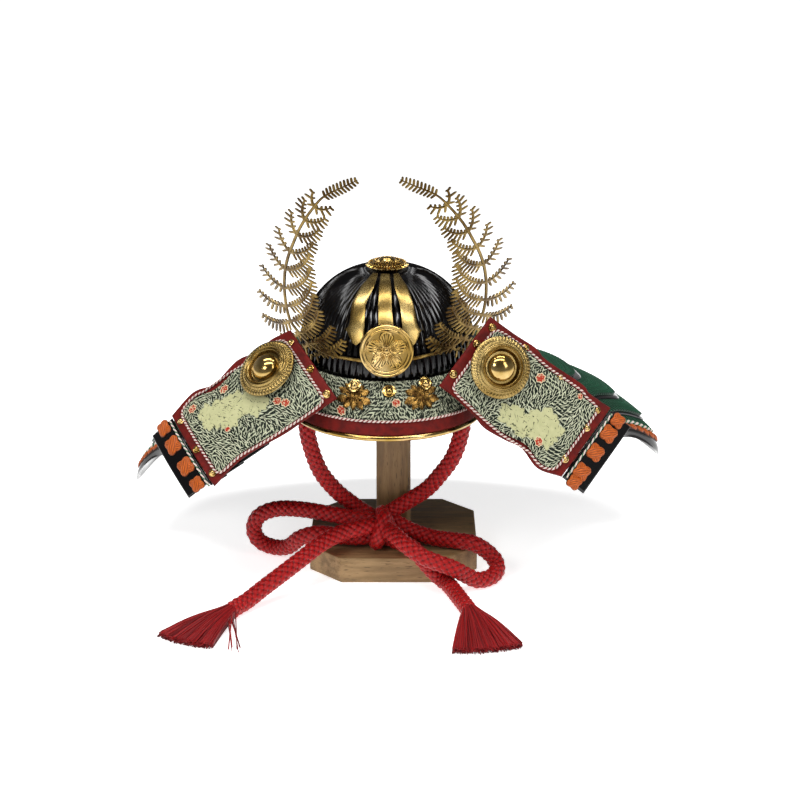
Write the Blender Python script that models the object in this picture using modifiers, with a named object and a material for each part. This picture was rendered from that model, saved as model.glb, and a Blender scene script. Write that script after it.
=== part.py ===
"""Kabuto samurai helmet on a plain wooden stand, at the size of a display ornament.

Metres, +Z up, +X to the viewer's right, +Y away from the viewer. The origin is the middle of the base board's
underside. The helmet is a ribbed bowl with a visor, a crest with two fern fronds, two turned-back wings and a neck
guard of five lames. A braided cord hangs from inside the bowl and is tied in a bow on the base.
"""
import math

import bmesh
import bpy
import numpy as np
from mathutils import Matrix, Vector

MM = 0.001
COLLECTION = "kabuto_helmet_on_stand"
GAP = 0.3 * MM            # left between two pieces that touch

# Stand
BASE_WIDTH = 102 * MM
BASE_DEPTH = 95 * MM
BASE_THICKNESS = 16 * MM
BASE_CORNER_CUT = 19.5 * MM
POST_SIDE = 21 * MM
POST_CHAMFER = 2.2 * MM
REST_RADIUS = 24 * MM
REST_THICKNESS = 9 * MM

# Bowl: half of an oval dome, with a short straight skirt below its widest level
HELMET_X = -3.6 * MM
BOWL_HALF_WIDTH = 52.5 * MM
BOWL_HALF_DEPTH = 60 * MM
BOWL_HEIGHT = 50 * MM
BOWL_WIDEST_Z = 134 * MM
BOWL_SKIRT = 3 * MM
BOWL_WALL = 1.6 * MM
BOWL_STEPS = 28

# Crown ornament
CROWN_RADIUS = 12.9 * MM
CROWN_COLLAR_RADIUS = 5.5 * MM
CROWN_PLATE_RISE = 1.5 * MM
CROWN_PLATE_THICKNESS = 1.4 * MM
CROWN_DOME_RADIUS = 7.6 * MM
CROWN_DOME_HEIGHT = 3.6 * MM

# Straps down the front of the bowl
STRAP_THICKNESS = 0.8 * MM
STRAP_TOP_ANGLE = math.radians(14)
STRAP_END_ANGLE = math.radians(69)

# Visor
VISOR_THICKNESS = 1.8 * MM
VISOR_LENGTH_DOWN = 26.5 * MM
VISOR_SIDE_DROP = 5 * MM
VISOR_HALF_WIDTH = 58 * MM
VISOR_FORWARD = 21.5 * MM
VISOR_CENTRE_SHIFT = 10 * MM
VISOR_HALF_ANGLE = math.radians(73)
VISOR_BULGE = 1.6 * MM
VISOR_TURNS = 19          # points round the visor
RIM_RADIUS = 1.6 * MM
PIPING_RADIUS = 1.1 * MM
VISOR_PIPING_AT = 0.77    # share of the way from the bowl to the rim
RIVET_RADIUS = 3.9 * MM
RIVET_HEIGHT = 3.4 * MM
FLOWER_RADIUS = 10.5 * MM
FLOWER_THICKNESS = 0.8 * MM

# Crest
CREST_RADIUS = 15.2 * MM
CREST_THICKNESS = 2.6 * MM
CREST_Z = 153 * MM
CREST_TILT = math.radians(6)
HOLDER_WIDTH = 10 * MM
HOLDER_HEIGHT = 15 * MM
HOLDER_DEPTH = 5.6 * MM
HOLDER_BELOW_FROND = 4 * MM

# Fern fronds: one flat outline, bent round the bowl's front
FROND_HEIGHT = 105 * MM
FROND_HALF_SPREAD = 60.5 * MM
FROND_FOOT_Z = 146 * MM
FROND_SHEET = 0.8 * MM
FROND_LEAFLET = 28 * MM
FROND_LEAFLET_WIDTH = 4.3 * MM
FROND_STEM_WIDTH = 1.9 * MM
FROND_WRAP = 14.5         # metres back for each square metre out
FROND_RIGHT_LEAN = math.radians(4.5)

# Turned-back wings
WING_LENGTH = 88 * MM
WING_HEIGHT = 50.3 * MM
WING_THICKNESS = 3 * MM
WING_COLUMNS = 20
FACE_COLUMNS = 12
FACE_ALONG = (0.078, 0.922)
FACE_DOWN = (0.095, 0.945)
FACE_THICKNESS = 1 * MM
BOSS_RADIUS = 17.2 * MM
BOSS_DOME_RADIUS = 7.9 * MM
BOSS_DOME_HEIGHT = 5.2 * MM

# Neck guard
GUARD_HALF_WIDTH = 165.5 * MM
GUARD_BACK = 128 * MM
GUARD_DROP = 72 * MM
GUARD_TOP_Z = BOWL_WIDEST_Z - 0.8 * MM
GUARD_TURNS = 22          # points round each lame
LAME_THICKNESS = 2 * MM
LAME_CLEARANCE = 0.9 * MM
LAME_OVERLAP = 0.035
LAME_ROWS = (3, 3, 4, 4, 4)
LAME_EDGES = (0.0, 0.30, 0.56, 0.77, 0.91, 1.0)
FOLD_SETBACK = 5.3 * MM
END_PLATE_WIDTH = 16.5 * MM
END_PLATE_THICKNESS = 1.8 * MM
END_PLATE_STEP = 0.4 * MM
END_PLATE_SLOPE = 0.12    # how far it drops behind the wing's face for each metre outwards
CROSS_KNOT_RADIUS = 4.4 * MM
CROSS_KNOT_THICKNESS = 1.9 * MM

# Cord
CORD_RADIUS = 5 * MM
KNOT_CENTRE = (-9 * MM, -27 * MM, 28.4 * MM)
KNOT_HALF_SIZES = (7.5 * MM, 10.5 * MM, 11.7 * MM)
TASSEL_LOCKS = 9

# Straps: shares of the bowl's half width (place) and half widths in the same share
STRAPS = (
    dict(name="strap_left", top=-0.13, middle=-0.31, end=-0.34, top_half=0.030, end_half=0.088),
    dict(name="strap_centre", top=-0.02, middle=-0.02, end=0.0, top_half=0.050, end_half=0.085),
    dict(name="strap_right", top=0.10, middle=0.22, end=0.28, top_half=0.030, end_half=0.088),
)
# Rivets and flower plates on the visor: angle from the front and share of the way down
VISOR_RIVETS = (
    dict(name="crest_rivet_left", angle=-18.5, down=0.17, on_flower=1),
    dict(name="crest_rivet_centre", angle=1.5, down=0.22, on_flower=0),
    dict(name="crest_rivet_right", angle=22.5, down=0.14, on_flower=1),
)
VISOR_FLOWERS = (
    dict(name="mount_flower_left", angle=-18.5, down=0.35),
    dict(name="mount_flower_right", angle=19.5, down=0.35),
)
# Wings: foot is where the lower edge starts at the visor, in shares of the bowl's half width, half depth and height;
# along and up are directions, curl is how far the top edge leans back, boss is the boss's place in shares.
# top and low are the waves of the upper and lower edges: share
# along, and shift upwards in shares of the height
WINGS = (
    dict(side="right", sign=1, foot=(0.579, -1.133, -0.034), along=(0.784, 0.021, -0.621), up=(0.589, 0.395, 0.704),
         curl=0.06, boss=(0.24, 0.37), cross_knots=5,
         top=((0, 0), (0.2, 0.01), (0.36, 0.03), (0.47, -0.006), (0.75, 0.02), (0.83, -0.012), (1, 0)),
         low=((0, 0), (0.14, -0.005), (0.286, -0.033), (0.4, -0.08), (0.55, -0.05), (0.68, -0.012), (0.84, -0.085),
              (1, 0))),
    dict(side="left", sign=-1, foot=(-0.545, -1.2, -0.156), along=(-0.807, -0.057, -0.588), up=(-0.567, 0.417, 0.709),
         curl=0.18, boss=(0.28, 0.27), cross_knots=4,
         top=((0, 0), (0.15, 0.045), (0.24, 0.0), (0.41, 0.085), (0.63, 0.015), (0.79, 0.085), (1, 0)),
         low=((0, 0), (0.29, 0.012), (0.43, 0.02), (0.735, 0.075), (1, 0))),
)
# Neck guard between the two folds: inner edge in shares of the bowl's half sizes, outer edge in shares of the guard's
# half width and back, drop in shares of the guard's drop
GUARD_STATIONS = (
    dict(inner=(1.02, -0.40), outer=(0.880, 0.05), drop=0.82, bulge=0.7),
    dict(inner=(1.0, 0.28), outer=(1.042, 0.36), drop=1.20, bulge=0.95),
    dict(inner=(0.72, 0.775), outer=(0.79, 0.79), drop=1.13, bulge=0.93),
    dict(inner=(0.0, 1.045), outer=(0.0, 1.0), drop=1.16, bulge=0.9),
    dict(inner=(-0.72, 0.775), outer=(-0.75, 0.74), drop=1.25, bulge=0.62),
    dict(inner=(-1.0, 0.28), outer=(-0.955, 0.22), drop=1.33, bulge=0.65),
    dict(inner=(-1.02, -0.40), outer=(-0.835, -0.02), drop=0.94, bulge=0.6),
)
# Frond stem from foot to tip: out in shares of the half spread, up in shares of the height
FROND_STEM = (
    (0.06, 0.0), (0.35, -0.002), (0.54, -0.006), (0.74, 0.016), (0.914, 0.078), (0.972, 0.14), (1.0, 0.243),
    (0.995, 0.355), (0.96, 0.455), (0.898, 0.557), (0.815, 0.672), (0.696, 0.79), (0.562, 0.885), (0.266, 0.996),
)
# Leaflets: at is the share of the stem; lengths in shares of the longest leaflet; angles from upright, in degrees,
# away from the helmet's middle (outer) and towards it (inner)
FROND_LEAFLETS = (
    dict(at=0.205, outer=0.30, outer_angle=130, inner=0.57, inner_angle=51),
    dict(at=0.25, outer=0.36, outer_angle=125, inner=0.72, inner_angle=43),
    dict(at=0.295, outer=0.50, outer_angle=122, inner=0.80, inner_angle=34),
    dict(at=0.338, outer=0.72, outer_angle=111, inner=0.95, inner_angle=34),
    dict(at=0.385, outer=0.66, outer_angle=94, inner=0.98, inner_angle=37),
    dict(at=0.45, outer=0.57, outer_angle=70, inner=0.90, inner_angle=42),
    dict(at=0.52, outer=0.50, outer_angle=47, inner=0.77, inner_angle=46),
    dict(at=0.595, outer=0.46, outer_angle=32, inner=0.66, inner_angle=54),
    dict(at=0.67, outer=0.45, outer_angle=13, inner=0.56, inner_angle=61),
    dict(at=0.74, outer=0.42, outer_angle=-2, inner=0.47, inner_angle=70),
    dict(at=0.805, outer=0.30, outer_angle=4, inner=0.36, inner_angle=78),
)
FROND_TIP_LEAFLET_AT = 0.86

# Cord routes, in millimetres, chosen by hand: helmet to knot, round each loop, and each tail to its tassel
CORD_ROUTES = {
    "cord_strand_left": (
        (-44.2, -22, 138), (-44.4, -22.5, 130), (-47.5, -24, 119), (-51, -25, 107), (-51.8, -25, 93), (-50, -24, 80),
        (-44.4, -20.5, 62), (-35.5, -15.4, 47.5), (-27, -12.4, 38.6), (-19.5, -13, 33.2),
    ),
    "cord_strand_right": (
        (37, -22, 138), (37.2, -22.5, 130), (39.4, -24, 119), (41.6, -25, 106), (41.4, -25, 92), (36.3, -24, 73),
        (27.2, -19.6, 57.5), (20, -16.4, 48), (11, -15.9, 41.6), (3.2, -16.6, 38),
    ),
    "cord_loop_left": (
        (-18.6, -25.4, 32.2), (-27, -24.8, 33), (-37.6, -22.4, 34.2), (-56.7, -15.6, 34.6), (-72, -10, 32.5),
        (-83, -6.5, 26.4), (-86.6, -5, 17.1), (-83, -5.5, 9.2), (-74, -8, 6.2), (-64.6, -15.5, 9.8),
        (-56.8, -24.4, 19.4), (-45.5, -28.8, 24.2), (-31, -29.4, 22.6), (-18.6, -29.4, 21.4),
    ),
    "cord_tail_left": (
        (-15.0, -35.7, 31.8), (-22, -38.2, 31.4), (-31, -41, 30), (-42.9, -49, 26.3), (-54.5, -61, 21.5),
        (-65.8, -72, 16.5), (-76.5, -80, 11), (-85, -87, 6.6), (-90.6, -93, 5.4), (-94.2, -99.4, 5.4),
    ),
    "cord_loop_right": (
        (0.6, -22.6, 29.4), (11.3, -25.6, 24.6), (24.4, -30, 22), (37.3, -34, 21.9), (48.5, -35.8, 20.6),
        (57.5, -35.8, 14.6), (62.4, -39.5, 9.2), (61.6, -46.5, 6), (56.6, -53, 5.4), (50, -57, 6.2), (43.4, -60.6, 10.8),
        (35.4, -65.2, 17.4), (26, -66, 21.4), (16.8, -63.6, 24.4), (8.2, -56.8, 28), (2.4, -48.2, 30.2),
        (-2.2, -40.6, 30.8),
    ),
    "cord_tail_right": (
        (0, -32.4, 21.4), (5, -37, 21.6), (10, -43.2, 22), (13.6, -49.4, 21.6), (17.4, -53.6, 18.2), (23, -55.4, 12),
        (28.4, -57, 7), (32.5, -61, 5.4), (35.6, -70, 5.4), (38.6, -80, 5.4), (42, -91, 5.4), (44.2, -98.8, 5.4),
    ),
}
CORD_POINTS = {"cord_strand_left": 15, "cord_strand_right": 15, "cord_loop_left": 19, "cord_tail_left": 12,
               "cord_loop_right": 21, "cord_tail_right": 14}
# Tassels: root and the two outer corners of the spread threads, in millimetres
TASSELS = (
    dict(name="tassel_left", root=(-94.2, -99.4, 5.4), corners=((-133, -121), (-101, -137))),
    dict(name="tassel_right", root=(44.2, -98.8, 5.4), corners=((33, -142.5), (73, -135.5))),
)

MATERIALS = {
    "wood": ((0.23, 0.14, 0.065), 0.55, 0.0),
    "black_lacquer": ((0.006, 0.006, 0.007), 0.15, 0.0),
    "gold_plate": ((0.62, 0.40, 0.12), 0.22, 1.0),
    "aged_gold": ((0.32, 0.19, 0.05), 0.35, 1.0),
    "printed_leather": ((0.42, 0.43, 0.33), 0.55, 0.0),
    "red_leather": ((0.17, 0.012, 0.008), 0.45, 0.0),
    "piping": ((0.55, 0.35, 0.32), 0.7, 0.0),
    "lacing": ((0.012, 0.10, 0.035), 0.75, 0.0),
    "orange_braid": ((0.68, 0.14, 0.012), 0.75, 0.0),
    "red_cord": ((0.42, 0.006, 0.008), 0.7, 0.0),
}


def clear_scene():
    """Removes every object of the open scene."""
    for item in list(bpy.context.scene.objects):
        bpy.data.objects.remove(item, do_unlink=True)


def make_materials():
    """One Principled material for each finish."""
    made = {}
    for name, (colour, roughness, metallic) in MATERIALS.items():
        finish = bpy.data.materials.new(name)
        finish.use_nodes = True
        shader = finish.node_tree.nodes["Principled BSDF"]
        shader.inputs["Base Color"].default_value = (*colour, 1.0)
        shader.inputs["Roughness"].default_value = roughness
        shader.inputs["Metallic"].default_value = metallic
        made[name] = finish
    return made


def collection(name):
    group = bpy.data.collections.new(name)
    bpy.context.scene.collection.children.link(group)
    return group


def add(name, mesh, finish, smooth=True):
    """Puts a mesh into the part's collection under its own name."""
    item = bpy.data.objects.new(name, mesh)
    mesh.materials.clear()
    mesh.materials.append(FINISHES[finish])
    if smooth:
        mesh.shade_smooth()
        mesh.set_sharp_from_angle(angle=math.radians(35))
    PART.objects.link(item)
    return item


def evaluated_mesh(item):
    """The mesh of an object with its modifiers or bevel, in world space; the object itself is removed."""
    bpy.context.view_layer.update()
    graph = bpy.context.evaluated_depsgraph_get()
    mesh = bpy.data.meshes.new_from_object(item.evaluated_get(graph))
    mesh.transform(item.matrix_world)
    bpy.data.objects.remove(item, do_unlink=True)
    welded = bmesh.new()
    welded.from_mesh(mesh)
    bmesh.ops.remove_doubles(welded, verts=welded.verts, dist=0.00001)
    welded.to_mesh(mesh)
    welded.free()
    return mesh


def smooth_curve(route, count):
    """Even steps along the Catmull-Rom curve through the route's points."""
    route = np.asarray(route, float)
    held = np.vstack([2 * route[0] - route[1], route, 2 * route[-1] - route[-2]])
    t = np.linspace(0, 1, 24, endpoint=False)[:, None]
    pieces = []
    for a, b, c, d in zip(held[:-3], held[1:-2], held[2:-1], held[3:]):
        pieces.append(0.5 * (2 * b + (c - a) * t + (2 * a - 5 * b + 4 * c - d) * t**2 + (3 * b - a - 3 * c + d) * t**3))
    dense = np.vstack([*pieces, route[-1]])
    run = np.concatenate([[0], np.cumsum(np.linalg.norm(np.diff(dense, axis=0), axis=1))])
    steps = np.linspace(0, run[-1], count)
    return np.column_stack([np.interp(steps, run, column) for column in dense.T])


def turned(profile, steps):
    """The closed mesh that a profile of (radius, height) makes round Z; outer side first, from top to bottom."""
    mesh = bpy.data.meshes.new("profile")
    mesh.from_pydata([(r, 0, z) for r, z in profile], [(i, i + 1) for i in range(len(profile) - 1)], [])
    item = bpy.data.objects.new("profile", mesh)
    bpy.context.scene.collection.objects.link(item)
    screw = item.modifiers.new("turn", "SCREW")
    screw.axis = "Z"
    screw.steps = screw.render_steps = steps
    screw.use_merge_vertices = True
    screw.merge_threshold = 0.00001
    return evaluated_mesh(item)


def tube(name, points, radius, finish, sides=2, closed=False):
    """A round tube along points, with flat ends."""
    curve = bpy.data.curves.new(name, "CURVE")
    curve.dimensions = "3D"
    curve.bevel_depth = radius
    curve.bevel_resolution = sides
    curve.use_fill_caps = not closed
    spline = curve.splines.new("POLY")
    spline.points.add(len(points) - 1)
    for knot, place in zip(spline.points, points):
        knot.co = (*place, 1.0)
    spline.use_cyclic_u = closed
    curve.materials.append(FINISHES[finish])
    item = bpy.data.objects.new(name, curve)
    PART.objects.link(item)
    return item


def shell(name, grid, thickness, finish):
    """A wall of one thickness behind a grid of points (rows, columns, 3) whose faces look outwards."""
    rows, columns = grid.shape[:2]
    index = np.arange(rows * columns).reshape(rows, columns)
    faces = np.stack([index[:-1, :-1], index[1:, :-1], index[1:, 1:], index[:-1, 1:]], axis=-1).reshape(-1, 4)
    mesh = bpy.data.meshes.new(name)
    mesh.from_pydata(grid.reshape(-1, 3).tolist(), [], faces.tolist())
    item = add(name, mesh, finish)
    wall = item.modifiers.new("wall", "SOLIDIFY")
    wall.thickness = thickness
    wall.offset = -1
    return item


def lifted(surface, s, t, lift):
    """Points of a surface moved out along its normal, which is ds x dt."""
    step = 1e-4
    along_s = surface(s + step, t) - surface(s - step, t)
    along_t = surface(s, t + step) - surface(s, t - step)
    normal = np.cross(along_s, along_t)
    normal /= np.linalg.norm(normal, axis=-1, keepdims=True)
    return surface(s, t) + np.asarray(lift)[..., None] * normal


def patch(surface, s_range, t_range, rows, columns, lift):
    """A grid of points over a range of a surface, all lifted alike."""
    s, t = np.meshgrid(np.linspace(*s_range, rows), np.linspace(*t_range, columns), indexing="ij")
    return lifted(surface, s, t, np.full(s.shape, lift))


def seat(surface, s, t, lift):
    """The matrix that stands a piece on a surface, with its Z along the normal."""
    base = lifted(surface, np.array(s), np.array(t), 0.0)
    top = lifted(surface, np.array(s), np.array(t), 1.0)
    normal = Vector(top - base)
    turn = normal.to_track_quat("Z", "Y").to_matrix().to_4x4()
    return Matrix.Translation(Vector(base) + lift * normal) @ turn


# Stand


def board(name, width, depth, low, high, cut, finish):
    """A board with its four upright corners cut off."""
    mesh = bpy.data.meshes.new(name)
    shape = bmesh.new()
    place = Matrix.Translation((0, 0, (low + high) / 2)) @ Matrix.Diagonal((width, depth, high - low, 1))
    bmesh.ops.create_cube(shape, size=1, matrix=place)
    upright = [e for e in shape.edges if abs(e.verts[0].co.z - e.verts[1].co.z) > (high - low) / 2]
    bmesh.ops.bevel(shape, geom=upright, offset=cut, segments=1, affect="EDGES")
    shape.to_mesh(mesh)
    shape.free()
    return add(name, mesh, finish, smooth=False)


def make_stand():
    crown_inside = BOWL_WIDEST_Z + BOWL_HEIGHT - BOWL_WALL
    rest_edge = BOWL_WIDEST_Z + (BOWL_HEIGHT - BOWL_WALL) * math.sqrt(
        1 - (REST_RADIUS / (BOWL_HALF_WIDTH - BOWL_WALL)) ** 2)
    rest_low = rest_edge - REST_THICKNESS
    board("stand_base", BASE_WIDTH, BASE_DEPTH, 0, BASE_THICKNESS, BASE_CORNER_CUT, "wood")
    board("stand_post", POST_SIDE, POST_SIDE, BASE_THICKNESS + GAP, rest_low - GAP, POST_CHAMFER, "wood")
    # The head rest is a turned knob whose top follows the inside of the bowl
    clearance = 3 * GAP
    profile = [(0, crown_inside - clearance)]
    for share in (0.35, 0.7, 1.0):
        radius = share * REST_RADIUS
        fall = math.sqrt(1 - (radius / (BOWL_HALF_WIDTH - BOWL_WALL)) ** 2)
        profile.append((radius, BOWL_WIDEST_Z + (BOWL_HEIGHT - BOWL_WALL) * fall - clearance))
    profile += [(REST_RADIUS, rest_low + 2 * MM), (REST_RADIUS - 2 * MM, rest_low), (0, rest_low)]
    mesh = turned(profile, 20)
    mesh.transform(Matrix.Translation((HELMET_X, 0, 0)))
    add("stand_head_rest", mesh, "wood")


# Bowl


def bowl_front(x, z, proud):
    """Y of the bowl's front, grown outwards by proud, at a place (x from the helmet's middle, z)."""
    across = x / (BOWL_HALF_WIDTH + proud)
    up = (z - BOWL_WIDEST_Z) / (BOWL_HEIGHT + proud)
    return -(BOWL_HALF_DEPTH + proud) * np.sqrt(np.clip(1 - across**2 - up**2, 0, 1))


def make_bowl():
    # A round dome first, whose depth is then stretched to the oval
    angles = np.radians(np.linspace(0, 90, 7))
    outer = [(BOWL_HALF_WIDTH * math.sin(a), BOWL_WIDEST_Z + BOWL_HEIGHT * math.cos(a)) for a in angles]
    inner_radius = BOWL_HALF_WIDTH - BOWL_WALL
    inner = [(inner_radius * math.sin(a), BOWL_WIDEST_Z + (BOWL_HEIGHT - BOWL_WALL) * math.cos(a)) for a in angles]
    skirt_z = BOWL_WIDEST_Z - BOWL_SKIRT
    profile = outer + [(BOWL_HALF_WIDTH, skirt_z), (inner_radius, skirt_z)] + inner[::-1]
    mesh = turned(profile, BOWL_STEPS)
    mesh.transform(Matrix.Translation((HELMET_X, 0, 0)) @ Matrix.Diagonal((1, BOWL_HALF_DEPTH / BOWL_HALF_WIDTH, 1, 1)))
    add("helmet_bowl", mesh, "black_lacquer")


def make_crown_ornament():
    crown = BOWL_WIDEST_Z + BOWL_HEIGHT
    low = CROWN_PLATE_RISE
    high = low + CROWN_PLATE_THICKNESS
    plate = [
        (0, high), (CROWN_DOME_RADIUS + 1 * MM, high), (CROWN_DOME_RADIUS + 2.4 * MM, high - 0.7 * MM),
        (CROWN_RADIUS - 0.8 * MM, high - 0.4 * MM), (CROWN_RADIUS, low + 0.5 * MM), (CROWN_RADIUS - 0.6 * MM, low),
        (CROWN_COLLAR_RADIUS, low), (CROWN_COLLAR_RADIUS, GAP), (0, GAP),
    ]
    dome_low = high + GAP
    dome = [(0, dome_low + CROWN_DOME_HEIGHT)]
    for share in (0.45, 0.8):
        dome.append((share * CROWN_DOME_RADIUS, dome_low + CROWN_DOME_HEIGHT * math.sqrt(1 - share**2)))
    dome += [(CROWN_DOME_RADIUS, dome_low + 0.8 * MM), (CROWN_DOME_RADIUS, dome_low), (0, dome_low)]
    for name, profile, steps in (("crown_plate", plate, 16), ("crown_dome", dome, 14)):
        mesh = turned(profile, steps)
        mesh.transform(Matrix.Translation((HELMET_X, 0, crown)))
        add(name, mesh, "gold_plate")


def make_straps():
    for row in STRAPS:
        turns = np.linspace(STRAP_TOP_ANGLE, STRAP_END_ANGLE, 9)
        share = (turns - turns[0]) / (turns[-1] - turns[0])
        place = np.interp(share, (0, 0.5, 1), (row["top"], row["middle"], row["end"])) * BOWL_HALF_WIDTH
        half = np.interp(share, (0, 0.35, 1), (row["top_half"], 0.075, row["end_half"])) * BOWL_HALF_WIDTH
        proud = STRAP_THICKNESS + 2 * GAP
        z = BOWL_WIDEST_Z + (BOWL_HEIGHT + proud) * np.cos(turns)
        grid = np.empty((len(turns), 3, 3))
        for column, side in enumerate((-1, 0, 1)):
            x = place + side * half
            grid[:, column] = np.column_stack([HELMET_X + x, bowl_front(x, z, proud), z])
        shell(row["name"], grid, STRAP_THICKNESS, "gold_plate")


# Visor


def visor_surface(down, angle):
    """The visor's outer face: an oval on the bowl above, a wider and further one at the rim below."""
    seat_out = VISOR_THICKNESS + 2 * GAP
    top_x = (BOWL_HALF_WIDTH + seat_out) * np.sin(angle)
    top_y = -(BOWL_HALF_DEPTH + seat_out) * np.cos(angle)
    rim_forward = BOWL_HALF_DEPTH + VISOR_FORWARD - VISOR_CENTRE_SHIFT
    rim_x = VISOR_HALF_WIDTH * np.sin(angle)
    rim_y = -VISOR_CENTRE_SHIFT - rim_forward * np.cos(angle)
    swell = VISOR_BULGE * np.sin(np.pi * np.clip(down, 0, 1))
    x = top_x + (rim_x - top_x) * down + swell * np.sin(angle)
    y = top_y + (rim_y - top_y) * down - swell * np.cos(angle)
    rim_drop = VISOR_LENGTH_DOWN + VISOR_SIDE_DROP * (1 - np.cos(angle))
    z = BOWL_WIDEST_Z - 0.6 * MM - rim_drop * down + swell
    return np.stack([HELMET_X + x, y, z], axis=-1)


def make_visor():
    half = VISOR_HALF_ANGLE
    grid = patch(visor_surface, (0, 1), (-half, half), 4, VISOR_TURNS, 0)
    shell("visor", grid, VISOR_THICKNESS, "printed_leather")
    angles = np.linspace(-half, half, VISOR_TURNS)
    level = np.ones(VISOR_TURNS)
    edge = lifted(visor_surface, level, angles, -VISOR_THICKNESS / 2 * level)
    above = lifted(visor_surface, 0.9 * level, angles, -VISOR_THICKNESS / 2 * level)
    away = (edge - above) / np.linalg.norm(edge - above, axis=-1, keepdims=True)
    tube("visor_rim", edge + away * (RIM_RADIUS + GAP), RIM_RADIUS, "gold_plate", sides=1)
    line = lifted(visor_surface, VISOR_PIPING_AT * level, angles, (PIPING_RADIUS + 2 * GAP) * level)
    tube("visor_piping", line, PIPING_RADIUS, "piping", sides=1)


def rivet_mesh(radius, height):
    """A domed rivet standing on a flat washer."""
    washer = 0.9 * MM
    head = 0.62 * radius
    profile = [(0, height), (0.62 * head, height - 0.22 * head), (head, washer + 0.2 * height), (head, washer),
               (radius, washer), (radius, 0), (0, 0)]
    return turned(profile, 10)


def flower_mesh(radius, thickness):
    """A flat flower of eight petals with a hole in each of four of them, lying in XY with its back at Z 0."""
    curve = bpy.data.curves.new("flower", "CURVE")
    curve.dimensions = "2D"
    curve.fill_mode = "BOTH"
    curve.extrude = thickness / 2
    outline = [(radius * (0.86 + 0.14 * math.cos(8 * a)), a) for a in np.linspace(0, math.tau, 32, endpoint=False)]
    loops = [[(r * math.cos(a), r * math.sin(a)) for r, a in outline]]
    for hole in range(4):
        a = math.tau * hole / 4
        middle = (0.58 * radius * math.cos(a), 0.58 * radius * math.sin(a))
        turn = np.linspace(0, math.tau, 6, endpoint=False)
        loops.append([(middle[0] + 0.17 * radius * math.cos(b), middle[1] + 0.17 * radius * math.sin(b))
                      for b in turn])
    for loop in loops:
        spline = curve.splines.new("POLY")
        spline.points.add(len(loop) - 1)
        for knot, (x, y) in zip(spline.points, loop):
            knot.co = (x, y, thickness / 2, 1)
        spline.use_cyclic_u = True
    item = bpy.data.objects.new("flower", curve)
    bpy.context.scene.collection.objects.link(item)
    return evaluated_mesh(item)


def bend_onto(mesh, place):
    """Moves each vertex of a flat mesh to place(x, y, z)."""
    flat = np.array([v.co for v in mesh.vertices])
    bent = place(flat[:, 0], flat[:, 1], flat[:, 2])
    mesh.vertices.foreach_set("co", np.asarray(bent, np.float32).ravel())
    mesh.update()


def make_visor_ornaments():
    top = FLOWER_THICKNESS + 3 * GAP
    for row in VISOR_RIVETS:
        mesh = rivet_mesh(RIVET_RADIUS, RIVET_HEIGHT)
        lift = row["on_flower"] * top + 2 * GAP
        mesh.transform(seat(visor_surface, row["down"], math.radians(row["angle"]), lift))
        add(row["name"], mesh, "gold_plate")
    for row in VISOR_FLOWERS:
        mesh = flower_mesh(FLOWER_RADIUS, FLOWER_THICKNESS)
        angle = math.radians(row["angle"])
        mean_radius = BOWL_HALF_DEPTH + 0.5 * VISOR_FORWARD
        slant = math.hypot(VISOR_LENGTH_DOWN, VISOR_FORWARD)

        def place(x, y, z):
            share_down = row["down"] - y / slant
            return lifted(visor_surface, share_down, angle + x / mean_radius, z + top - FLOWER_THICKNESS)

        bend_onto(mesh, place)
        add(row["name"], mesh, "aged_gold")


# Crest


def holder_front():
    """Y of the holder's front face; its lower edge stands on the bowl, below the centre strap."""
    return bowl_front(0.0, FROND_FOOT_Z - HOLDER_BELOW_FROND, GAP) - HOLDER_DEPTH


def frond_plan(out):
    """Y of the middle of the frond's sheet at a distance out from the helmet's middle."""
    return holder_front() - 2 * GAP - FROND_SHEET / 2 + FROND_WRAP * out**2


def leaf_outline(root_low, root_high, chord_angle, length, side):
    """A leaflet's edge from its lower root round its tip to its upper root, bending up along its length."""
    root = (root_low + root_high) / 2
    shares = np.array([0.28, 0.55, 0.8, 1.0])
    widths = np.array([0.85, 1.0, 0.66, 0.0]) * FROND_LEAFLET_WIDTH / 2
    bend = math.radians(16) * (1 - shares)
    angles = math.radians(chord_angle) + bend
    spine = root + (shares * length)[:, None] * np.column_stack([side * np.sin(angles), np.cos(angles)])
    turn = np.column_stack([side * np.cos(angles), -np.sin(angles)])
    low = spine + turn * widths[:, None]
    high = spine - turn * widths[:, None]
    return [*low[:3], spine[3], *high[:3][::-1]]


def frond_outline():
    """The closed outline of one frond: out (+X) and up (+Y)."""
    spread = np.array([FROND_HALF_SPREAD, FROND_HEIGHT])
    stem = smooth_curve(np.array(FROND_STEM) * spread, 301)
    heading = np.gradient(stem, axis=0)
    heading /= np.linalg.norm(heading, axis=1, keepdims=True)
    outwards = np.column_stack([heading[:, 1], -heading[:, 0]])
    share = np.linspace(0, 1, 301)
    half = np.interp(share, (0, 0.8, 1), (1.0, 0.6, 0.4)) * FROND_STEM_WIDTH / 2

    def edge(at, side):
        spot = int(round(at * 300))
        return stem[spot] + side * outwards[spot] * half[spot]

    root = 0.0045
    sides = []
    for side, length_key, angle_key in ((1, "outer", "outer_angle"), (-1, "inner", "inner_angle")):
        line = [edge(0, side), edge(0.1, side)]
        for row in FROND_LEAFLETS:
            low = edge(row["at"] - root, side)
            high = edge(row["at"] + root, side)
            leaf = leaf_outline(low, high, row[angle_key], row[length_key] * FROND_LEAFLET, side)
            line += [low, *leaf, high]
        for at, width in ((FROND_TIP_LEAFLET_AT, 0.5), (0.91, 1.15), (0.96, 0.85)):
            spot = int(round(at * 300))
            line.append(stem[spot] + side * outwards[spot] * FROND_LEAFLET_WIDTH / 2 * width)
        sides.append(line)
    return [*sides[0], stem[-1], *sides[1][::-1]]


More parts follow.
